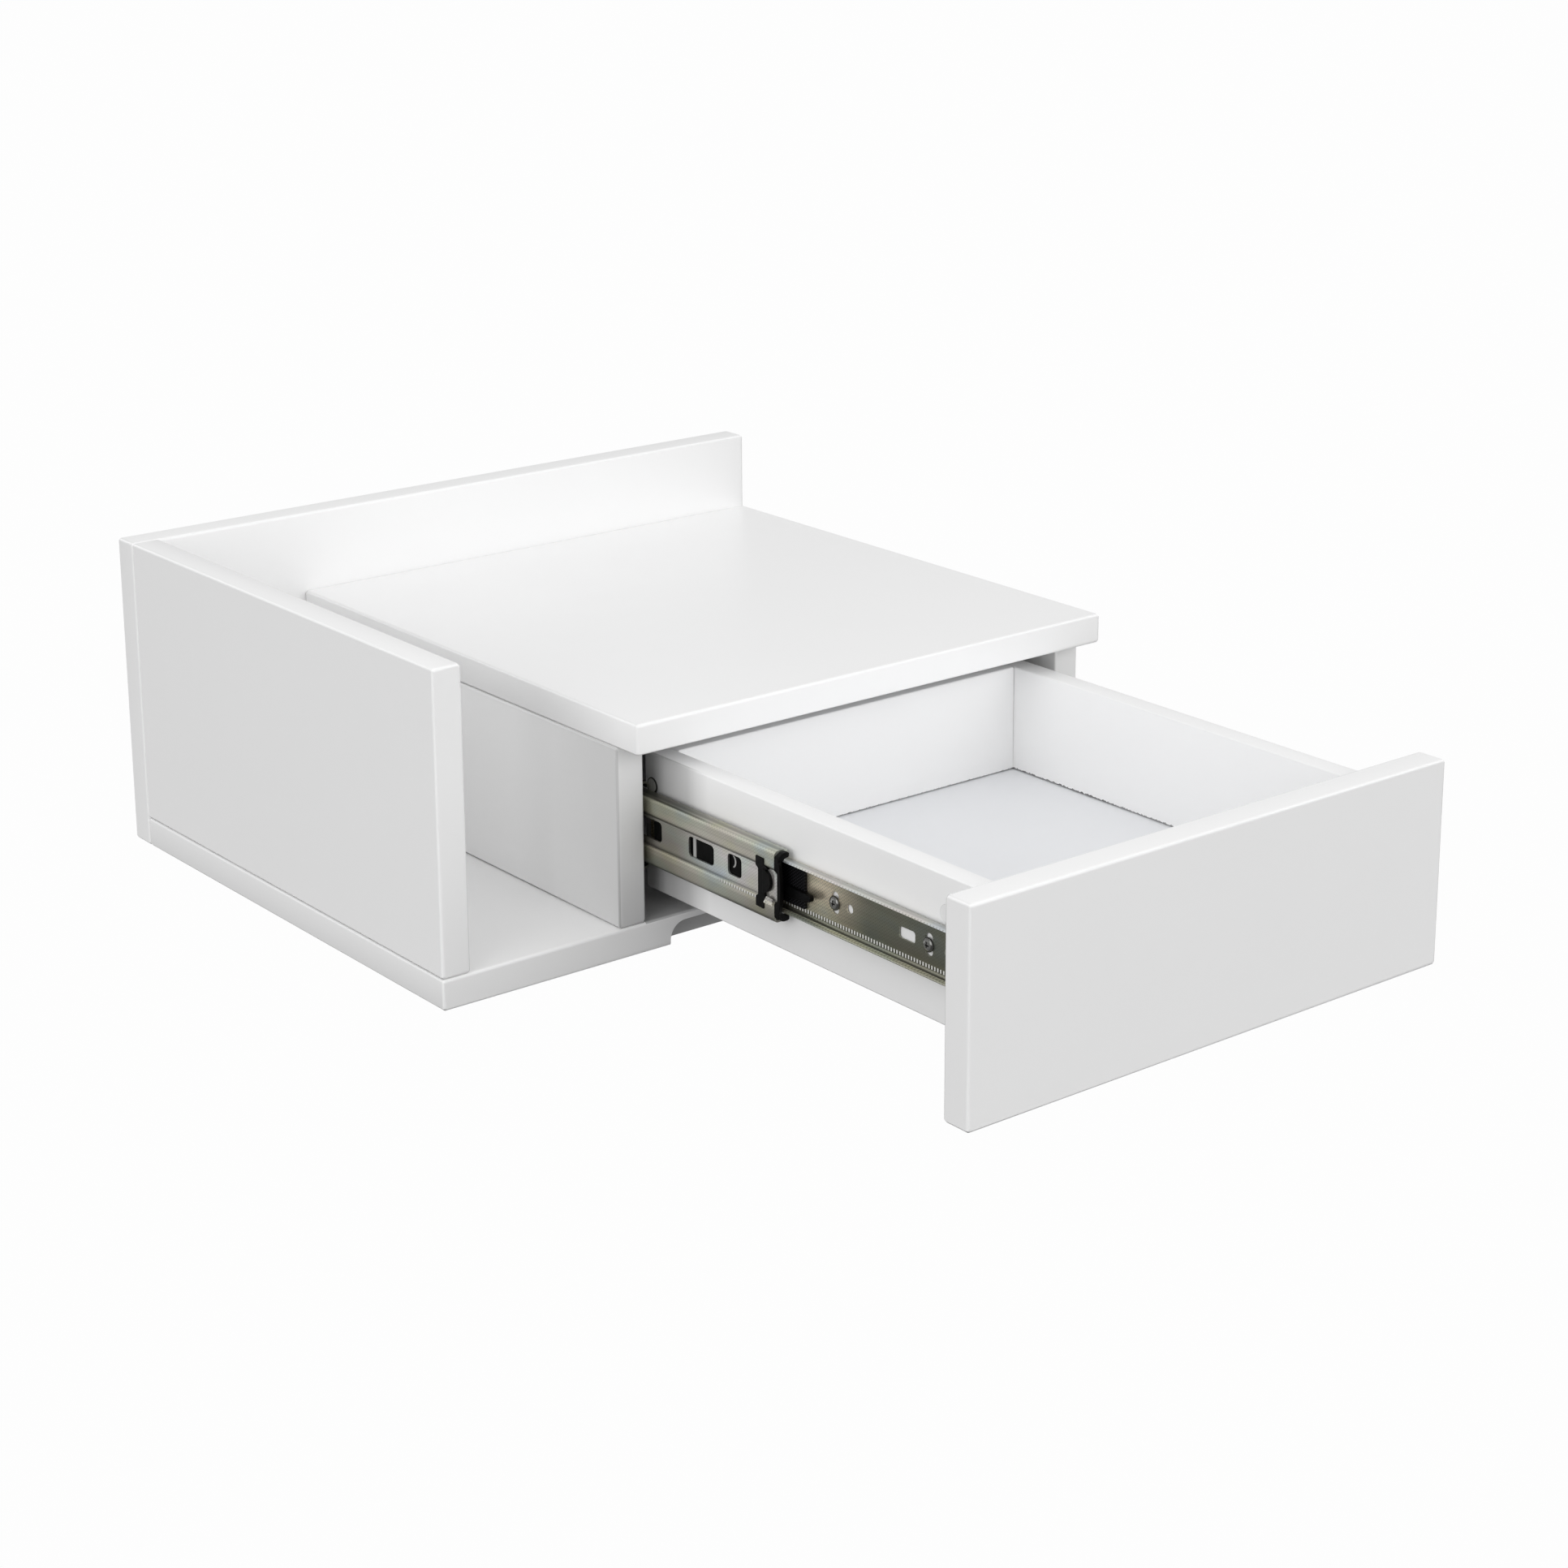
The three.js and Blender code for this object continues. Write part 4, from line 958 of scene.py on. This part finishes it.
def cabinet_rail(slide, material):
    """The outermost channel, screwed to the panel: a flat web and two rolled races."""
    corner = [(4.0, OUTER_TOP, 0), (OUTER_WEB, OUTER_TOP, 1.6), (OUTER_WEB, 1.0, 0)]
    upper = np.vstack((arc(*OUTER_RACE), fillet_path(corner, False)[1:]))
    outline = strip_outline(mirrored(upper), OUTER_GAUGE)
    rear, front = slide.span("cabinet_rail")
    return slide.piece("cabinet_rail", slide.sweep(outline, rear, front + RACE_SETBACK, True), material)


def latch_block(slide, material):
    """The plastic plate on the drawer rail that carries the lever, with one rounded
    corner at the front and a domed pivot."""
    rear, front = slide.span("latch_block")
    outline = fillet_path([(rear, LATCH_BOTTOM, 0.4), (rear, LATCH_TOP, 0.4), (front, LATCH_TOP, 3.2),
                           (front, LATCH_BOTTOM, 1.0)], True)
    plate = slide.piece("latch_block", slide.plate(outline, *LATCH_DEPTHS), material)
    pin = slide.lathe(PIVOT_PIN, rear - LEVER_PIVOT_INSET, -LEVER_DROP, 24)
    return bevel(add_shells(plate, [pin]), 0.25 * MM)


def release_lever(slide, material):
    """The finger lever: a bar with a round eye at its pivot, straight above and tapering
    from below to a round tip."""
    pivot = slide.span("latch_block")[0] - LEVER_PIVOT_INSET
    front = slide.span("release_lever")[1]
    eye = arc((pivot, -LEVER_DROP), (LEVER_EYE, LEVER_EYE), -40, 40, 11)
    bar = fillet_path([(pivot - 2.4, 0.45, 0), (front, 0.35, 1.5), (front, -2.9, 1.5),
                       (pivot - 12.0, -4.6, 6.0), (pivot - 2.4, -4.6, 0)], False)
    lever = slide.plate(np.vstack((eye, bar)), *LEVER_DEPTHS)
    return bevel(slide.piece("release_lever", lever, material), 0.4 * MM)


# Screws and ball cages

AXIS_RADIUS = 1e-4
SCREW_FACE = 11.8
SCREW_HEAD = 3.5
SCREW_RIM = 0.5
SCREW_DOME = 1.3
SCREW_SHANK = 1.6
SCREW_SHANK_LENGTH = 1.0
CROSS_REACH = 2.0
CROSS_HALF = 0.42
CROSS_TAPER = 0.45
CROSS_TOP = 2.2
CROSS_FLOOR = 0.7
# Depth of the web, height and depth of the rows of balls, and depth of the strips' ends
CAGES = {"outer": (1.7, 19.65, 6.0, 7.5), "inner": (4.75, 14.65, 7.4, 8.9)}
CAGE_GAUGE = 0.5
CAGE_BALLS = 5
BALL_INSET = 7
BALL_RADIUS = 1.9
BALL_RINGS = 13
BALL_STEPS = 20
BALL_POLE = 0.02
# A bright strip, and a crescent that is a painted highlight: the lit rim of a round dimple that is not built
CAGE_TABS_AND_GLINT = (
    np.array([(-346.3, -4.6), (-348.6, -4.6), (-348.6, 8.2), (-346.3, 8.2)]),
    np.vstack((arc((-377.4, 2.6), (2.9, 3.2), 112, 248, 13), arc((-376.6, 2.6), (2.7, 3.0), 244, 116, 13))))
CAGE_TAB_DEPTHS = (4.25, 4.5)


def cross_cutter(slide, y, half_y, half_z):
    """The shell of one tapered arm of a screw's cross."""
    outer = np.array([(-half_y, -half_z), (half_y, -half_z), (half_y, half_z), (-half_y, half_z)])
    ring = np.vstack((outer, outer * CROSS_TAPER))
    depth = np.repeat([SCREW_FACE - CROSS_TOP, SCREW_FACE - CROSS_FLOOR], len(outer))
    return slide.points(depth, y + ring[:, 0], ring[:, 1]), swept_faces(len(outer), 2)


def pan_screw(slide, name, y, material):
    """A cross-head screw: a low domed head on a threadless shank, turned about its axis,
    with a tapered cross cut into the head."""
    rim, shank_end = SCREW_FACE - SCREW_RIM, SCREW_FACE + SCREW_SHANK_LENGTH
    profile = [(AXIS_RADIUS, rim - SCREW_DOME)]
    profile += [(SCREW_HEAD * math.cos(a), rim - SCREW_DOME * math.sin(a))
                for a in np.radians(np.linspace(90, 8, 9))[1:]]
    profile += [(SCREW_HEAD - 0.05, SCREW_FACE - 0.1), (SCREW_HEAD - 0.2, SCREW_FACE),
                (SCREW_SHANK, SCREW_FACE), (SCREW_SHANK, shank_end), (AXIS_RADIUS, shank_end)]
    piece = slide.piece(name, slide.lathe(profile, y, 0.0, 40), material)
    return cut_out(piece, [cross_cutter(slide, y, CROSS_REACH, CROSS_HALF),
                           cross_cutter(slide, y, CROSS_HALF, CROSS_REACH)])


def ball_cage(slide, kind, material, tabs=(), tab_and_glint_material=None):
    """A ball cage: a web strip and two turned-in strips, with a row of balls in each.
    Each ball is a half circle turned about its axis. The tabs are thin bright plates on
    the web, given by outlines in Y and height; a crescent among them is a painted highlight."""
    depth, height, ball_depth, strip_end = CAGES[kind]
    rear, front = slide.span(f"{kind}_ball_cage")
    upper = fillet_path([(strip_end, height, 0), (depth, height, 0.8), (depth, 1.0, 0)], False, 15)
    outline = strip_outline(mirrored(upper), CAGE_GAUGE)
    shells = [slide.sweep(outline, rear, front, True)]
    polar = np.linspace(BALL_POLE, np.pi - BALL_POLE, BALL_RINGS)
    profile = np.stack((BALL_RADIUS * np.sin(polar), ball_depth + BALL_RADIUS * np.cos(polar)), axis=1)
    for y in np.linspace(rear - BALL_INSET, front + BALL_INSET, CAGE_BALLS):
        for z in (height, -height):
            shells.append(slide.lathe(profile, y, z, BALL_STEPS))
    tab_start = sum(len(faces) for _, faces in shells)
    shells += [slide.plate(tab, *CAGE_TAB_DEPTHS) for tab in tabs]
    piece = slide.piece(f"{kind}_cage", merged(shells), material)
    if tabs:
        piece.data.materials.append(tab_and_glint_material)
        faces = piece.data.polygons
        faces.foreach_set("material_index", (np.arange(len(faces)) >= tab_start).astype(np.int32))
    return piece


# Finishes of the slides. In each tone row, a place in millimetres and a share of tone; most
# of these rows are painted light and shade.

BAND_TONE = (0.51, 0.52, 0.46, 1)
# Painted shade: the bands' tone towards the rear, inside the bay
BAND_SHADED = (0.38, 0.375, 0.31, 1)
WEB_FRONT = (0.64, 0.66, 0.65, 1)
# Painted shade: the web's tone towards the rear
WEB_REAR_SHADED = (0.29, 0.29, 0.265, 1)
# Painted shadow: the cabinet rail is near black, as it lies deep in the bay
OUTER_SHADOW_TONE = (0.10, 0.10, 0.08, 1)
INNER_TONE = (0.90, 0.83, 0.64, 1)
# Painted shade: the drawer rail's tone towards the drawer front
INNER_SHADED = (0.31, 0.315, 0.255, 1)
BLACK = (0.002, 0.002, 0.002, 1)
DOT_GREY = (0.03, 0.03, 0.035, 1)
SCREW_STEEL = (0.50, 0.50, 0.48, 1)
CAGE_STEEL = (0.30, 0.29, 0.26, 1)
# The bright steel of the strip and of the crescent, a painted highlight
TAB_AND_GLINT_STEEL = (0.44, 0.44, 0.43, 1)
# Painted shade by depth on the pan screws: a darker rim and a dark cross
SCREW_PAINTED_SHADE = ((10.0, 1.0), (10.25, 0.95), (10.5, 0.35), (11.1, 0.30), (11.6, 0.45))
# Painted light and shade by height on the middle rail: bright lines on the bends, dark lines at the steps and
# the lower edge
MIDDLE_LIGHT_ROWS = (
    (-18.0, 0.35), (-17.0, 0.42), (-16.2, 0.60), (-15.4, 0.70), (-13.5, 0.76), (-12.5, 0.80), (-11.5, 0.86),
    (-10.5, 1.00), (-9.4, 1.08), (-8.9, 1.25), (-8.4, 1.55), (-8.0, 1.35), (-7.6, 0.90), (-7.1, 0.58),
    (-6.6, 0.56), (-6.1, 0.90), (-5.4, 1.02), (0.5, 1.02), (3.0, 1.12), (6.9, 1.15), (7.5, 1.30), (7.8, 0.60),
    (8.1, 0.36), (9.0, 0.38), (9.4, 0.62), (9.9, 1.00), (11.0, 1.12), (16.0, 1.08), (16.8, 1.40),
    (17.3, 1.35), (17.5, 1.05))
# Painted highlights and shade by depth on the middle rail's top flange and on its tongue
MIDDLE_LEDGE_LIGHT = (
    (1.9, 1.7), (2.1, 1.0), (2.6, 1.05), (3.0, 0.86), (3.5, 0.82), (4.3, 1.10), (4.9, 1.0), (5.6, 0.60),
    (6.6, 0.52), (7.4, 0.60), (8.6, 0.85), (10.6, 0.95))
# Painted light and shade by depth on the drawer rail's lower race: a bright race and a dark line beyond it
INNER_FOOT_LIGHT = (
    (5.0, 1.5), (7.2, 2.9), (8.3, 2.8), (8.9, 1.1), (9.4, 0.5), (9.8, 0.42), (10.6, 0.38), (11.0, 0.6),
    (11.6, 1.1), (12.0, 0.95))
# Painted shade on the drawer rail, darker towards its bottom
INNER_SHADE_ROWS = ((-11.0, 0.62), (-8.0, 0.72), (-2.0, 0.92), (4.0, 1.05))
# Painted highlight on the drawer rail's top races, brightest at the lip
INNER_CROWN_HIGHLIGHT = (11.9, (0.84, 0.84, 0.82, 1), (0.50, 0.50, 0.48, 1), 6.0, 9.6)


def middle_zinc(slide):
    front = slide.span("middle_rail")[1] * MM
    # The fades of the bands, the web and the top flange towards the rear are painted shade
    return Zinc(
        BAND_TONE, BAND_SHADED, 0.34, (front + 52 * MM, front + 90 * MM), 0.85, 0.30,
        web=(slide.high(0.8 - STEP_BOTTOM), slide.high(STEP_TOP - 0.8), WEB_FRONT, WEB_REAR_SHADED,
             (front + 38 * MM, front + 82 * MM)),
        ticks=(slide.high(-9.2), slide.high(-8.0), front + 4 * MM, front + 42 * MM),
        rows=MIDDLE_LIGHT_ROWS, ledge=MIDDLE_LEDGE_LIGHT, ledge_fade=(front + 40 * MM, front + 82 * MM, 0.45))


def inner_zinc(slide):
    front = slide.span("drawer_rail")[1] * MM
    latch_front = slide.span("latch_block")[1] * MM
    # The fade towards the drawer front is painted shade
    return Zinc(
        INNER_TONE, INNER_SHADED, 0.30, (latch_front - 10 * MM, latch_front - 48 * MM), 0.6, 0.5,
        ticks=(slide.high(-11.4), slide.high(-9.5), front, latch_front + 18 * MM),
        rows=INNER_SHADE_ROWS, foot=INNER_FOOT_LIGHT, crown=INNER_CROWN_HIGHLIGHT)


def outer_zinc(slide):
    rear, front = (place * MM for place in slide.span("middle_rail"))
    # Near black all along: painted shadow
    return Zinc(OUTER_SHADOW_TONE, OUTER_SHADOW_TONE, 0.36, (front, rear), 0.3, 0.1)


def slide_finishes(slide):
    """The materials of one slide, by a short name."""
    label = slide.label
    plastic = {"grain": 1400, "depth": 0.03 * MM, "sheen": 0.10}
    return {
        "outer": zinc_material(f"zinc_outer_{label}", slide, outer_zinc(slide)),
        "middle": zinc_material(f"zinc_band_{label}", slide, middle_zinc(slide)),
        "inner": zinc_material(f"zinc_inner_{label}", slide, inner_zinc(slide)),
        "black": plain_material(f"black_plastic_{label}", BLACK, 0.42, **plastic),
        "dotted": plain_material(f"dotted_plastic_{label}", BLACK, 0.5, dots=DOT_GREY, **plastic),
        "screw": plain_material(f"bright_zinc_{label}", SCREW_STEEL, 0.2, 0.95, 1600, 0.015 * MM,
                                shades=(slide, SCREW_PAINTED_SHADE)),
        "cage": plain_material(f"cage_steel_{label}", CAGE_STEEL, 0.34, 0.9, 1200, 0.015 * MM),
        "tab": plain_material(f"cage_tab_and_glint_{label}", TAB_AND_GLINT_STEEL, 0.4, 0.3, 1200, 0.01 * MM),
        # Painted shade: the inner cage and its balls are near black for the hollow seen through the middle
        # rail's windows
        "dark_cage": plain_material(f"cage_shadow_black_{label}", BLACK, 0.5, 0.0, 1200, 0.015 * MM, 0.06),
    }


def finish_piece(piece, body, slot, *nodes):
    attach(piece, body)
    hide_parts(*nodes)


def dress_slide(label):
    """Builds the pieces of one slide, each in place of its CAD node."""
    slide = Slide(label)
    finishes = slide_finishes(slide)
    middle_body = f"middle_slide_{label}"
    for node, build, finish, body in (
            ("cabinet_rail", cabinet_rail, "outer", "carcass"),
            ("middle_rail", middle_rail, "middle", middle_body),
            ("drawer_rail", drawer_rail, "inner", "drawer")):
        rail = bevel(build(slide, finishes[finish]), 0.12 * MM, 1, 42)
        finish_piece(rail, body, "yellow_zinc", f"{node}_{label}")
    for node, build, finish, body in (
            ("middle_rail_end_cap", end_cap, "black", middle_body),
            ("middle_rail_stop_clip", stop_clip, "black", middle_body),
            ("latch_block", latch_block, "dotted", "drawer"),
            ("release_lever", release_lever, "black", f"lever_{label}")):
        finish_piece(build(slide, finishes[finish]), body, "black_plastic", f"{node}_{label}")
    for place in ("front", "rear"):
        node = f"drawer_rail_screw_{label}_{place}"
        low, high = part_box(node)
        centre = (low.y + high.y) / 2 / MM
        screw = pan_screw(slide, f"drawer_rail_screw_{place}", centre, finishes["screw"])
        finish_piece(screw, "drawer", "bright_zinc", node)
    outer = ball_cage(slide, "outer", finishes["cage"])
    finish_piece(outer, f"outer_cage_{label}", "bright_zinc", f"outer_ball_cage_{label}")
    # The inner cage is near black as painted shade, and its crescent tab is a painted highlight
    inner = ball_cage(slide, "inner", finishes["dark_cage"], CAGE_TABS_AND_GLINT, finishes["tab"])
    finish_piece(inner, f"inner_cage_{label}", "bright_zinc", f"inner_ball_cage_{label}")


for label in ("left", "right"):
    dress_slide(label)


# Boards keep their solids and get a finish

def dress_node(name, material, weld=True):
    """Gives a CAD node its material and, for boards, joined and weighted normals."""
    node = NODES[name]
    for slot in node.material_slots:
        slot.material = material
    if weld:
        joint = node.modifiers.new("joined_facets", "WELD")
        joint.merge_threshold = 0.002 * MM
        corners = node.modifiers.new("crisp_corners", "EDGE_SPLIT")
        corners.split_angle = math.radians(50)
        corners.use_edge_sharp = False
        node.data.shade_smooth()
        weighted = node.modifiers.new("weighted_normals", "WEIGHTED_NORMAL")
        weighted.keep_sharp = False
        weighted.weight = 80


def on_face(axis, place):
    """The limit that keeps a tone on the face at a place in millimetres."""
    return axis, place - 1, place + 1


BAY_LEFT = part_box("divider_panel")[1].x / MM
BAY_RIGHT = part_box("right_side_panel")[0].x / MM
IN_BAY = ("X", BAY_LEFT, BAY_RIGHT)
FRONT_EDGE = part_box("divider_panel")[0].y / MM
FLOOR_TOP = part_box("bottom_panel")[1].z / MM
SIDE_FACE = on_face("X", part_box("drawer_side_left")[0].x / MM)
NICHE_RIGHT = on_face("X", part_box("divider_panel")[0].x / MM)
LEFT_END = on_face("X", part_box("left_side_panel")[0].x / MM)
BACK_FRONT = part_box("back_panel")[0].y / MM
SHADOW_START = -347
# For each board, rows of an axis, the tone along it and the limits of that tone. All are
# painted light and shade: lighter left ends of the left panel and back panel, painted light
# and shade along the divider, and painted shade on the bay's floor, on the recessed front
# below it and on the drawer side's stretch inside the bay
BOARD_PAINTED_LIGHT_AND_SHADE = {
    "left_side_panel": [("Y", ((FRONT_EDGE, 1.02), (0, 1.08)), [LEFT_END])],
    "back_panel": [("Y", ((BACK_FRONT, 1.07), (0, 1.08)), [LEFT_END])],
    "divider_panel": [
        ("Z", ((-70, 0.66), (-20, 0.84), (5, 0.88)), [on_face("Y", FRONT_EDGE)]),
        ("Y", ((FRONT_EDGE, 0.68), (FRONT_EDGE + 18, 0.76), (FRONT_EDGE + 54, 0.97), (FRONT_EDGE + 90, 1.07)),
         [NICHE_RIGHT]),
        ("Z", ((-70, 0.94), (0, 1.0)), [NICHE_RIGHT]),
    ],
    "bottom_panel": [
        ("X", ((BAY_LEFT, 0.50), (BAY_LEFT + 40, 0.75)), [on_face("Z", FLOOR_TOP), IN_BAY]),
        ("Z", ((-85, 0.66), (-74, 0.60)),
         [("Y", FRONT_EDGE + 1, FRONT_EDGE + 12), ("Z", -86, FLOOR_TOP - 3), IN_BAY]),
    ],
    "drawer_side_left": [
        ("Y", ((SHADOW_START, 1.0), (-338, 0.86), (-330, 0.66), (-320, 0.60), (-310, 0.56)), [SIDE_FACE]),
        ("Y", ((SHADOW_START, 1.0), (-318, 0.70)), [SIDE_FACE, ("Z", -60, -24)]),
    ],
}
SHEET_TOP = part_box("drawer_bottom")[1].z
SHEET_COLOUR = (0.87, 0.88, 0.90, 1)
# The axis and place of the inner face, the groove's height and the width of its chips
GROOVES = {
    "drawer_back": ("Y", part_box("drawer_back")[0].y, SHEET_TOP, 0.95 * MM),
    "drawer_side_left": ("X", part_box("drawer_side_left")[1].x, SHEET_TOP, 0.9 * MM),
    "drawer_side_right": ("X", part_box("drawer_side_right")[0].x, SHEET_TOP, 1.15 * MM),
}
LACQUERED = ("back_panel", "left_side_panel", "bottom_panel", "divider_panel", "right_side_panel",
             "top_shelf", "drawer_front")


def dress_boards():
    for name in (*LACQUERED, *GROOVES):
        low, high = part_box(name)
        kind, roughness = ("foil", 0.36) if name in GROOVES else ("lacquer", 0.3)
        dress_node(name, lacquer_material(
            f"{kind}_{name}", low, high, LACQUER_COLOUR, LACQUER_EDGE_HIGHLIGHT, roughness, GROOVES.get(name),
            BOARD_PAINTED_LIGHT_AND_SHADE.get(name, ())))
    low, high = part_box("drawer_bottom")
    sheet = lacquer_material("drawer_bottom_sheet", low, high, SHEET_COLOUR, SHEET_COLOUR, 0.5)
    dress_node("drawer_bottom", sheet, False)


dress_boards()


# Small CAD pieces keep their solids and get a finish

CAP_RADIUS = 4.2
CAP_TONES = ((0.36, 0.36, 0.34, 1), (0.60, 0.60, 0.57, 1))
JOINT_AND_SHADOW_TONE = (0.03, 0.03, 0.028, 1)
# Share of painted shade on the side's white around the capped screws in the bay
BAY_SHADE = 0.58
PALE_ZINC = (0.62, 0.62, 0.62, 1)
DARK_ZINC = (0.24, 0.235, 0.21, 1)
SMALL_FINISHES = {
    "hanger_plate": ("hanger_zinc", PALE_ZINC, 0.3, 0.9),
    "hanger_screw": ("dark_zinc", DARK_ZINC, 0.32, 0.9),
    "back_screw": ("dark_zinc", DARK_ZINC, 0.32, 0.9),
    "cabinet_rail_screw": ("pale_zinc", PALE_ZINC, 0.3, 0.9),
    "rear_bumper": ("rubber", (0.016, 0.016, 0.016, 1), 0.75, 0.0),
    "front_cam_bolt": ("pale_zinc", PALE_ZINC, 0.3, 0.9),
    "front_cam": ("white_plastic", (0.93, 0.93, 0.93, 1), 0.35, 0.0),
    "front_dowel": ("beech", (0.60, 0.40, 0.21, 1), 0.65, 0.0),
}


def capped_screw_material():
    """The screws through the drawer sides: a grey cap, a dark joint that is widest on the room
    side, where the widening is a painted shadow in the hole, and outside it the side's white
    under painted shade."""
    material, shader, place = new_material("capped_screw")
    low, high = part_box("drawer_back_screw_left")
    offset = vector_node("SUBTRACT", place, (low + high) / 2)
    _, y, z = split(offset)
    radius = math_node("SQRT", plus(times(y, y), times(z, z)))
    streaks = noise_node(vector_node("MULTIPLY", offset, (60, 900, 120)), 1.0)
    outside = ramp_value(radius, CAP_RADIUS * MM, (CAP_RADIUS + 0.2) * MM)
    base = mix_colour(outside, mix_colour(streaks, *CAP_TONES), darker(LACQUER_COLOUR, BAY_SHADE))
    # The joint widens on the room side: a painted shadow in the hole
    inner = ramp_value(y, 2 * MM, -3 * MM, (CAP_RADIUS - 0.4) * MM, (CAP_RADIUS - 1.3) * MM)
    joint = times(math_node("GREATER_THAN", radius, inner),
                  math_node("LESS_THAN", radius, (CAP_RADIUS + 0.1) * MM))
    set_inputs(shader, {
        "Base Color": mix_colour(joint, base, JOINT_AND_SHADOW_TONE), "Normal": bump(streaks, 0.02 * MM, 0.6),
        "Roughness": times_plus(noise_node(offset, 800), 0.1, 0.35)})
    return material


def dress_small_pieces():
    """The capped screws, then each small piece by the longest kind that its name starts with."""
    capped = capped_screw_material()
    for name in ("drawer_back_screw_left", "drawer_back_screw_right"):
        dress_node(name, capped, False)
    made = {}
    for name in NODES:
        kinds = [kind for kind in SMALL_FINISHES if name.startswith(kind)]
        if not kinds or NODES[name].hide_render:
            continue
        label, colour, roughness, metallic = SMALL_FINISHES[max(kinds, key=len)]
        if label not in made:
            made[label] = plain_material(label, colour, roughness, metallic)
        dress_node(name, made[label], False)


dress_small_pieces()

bpy.context.scene.view_settings.view_transform = "Standard"
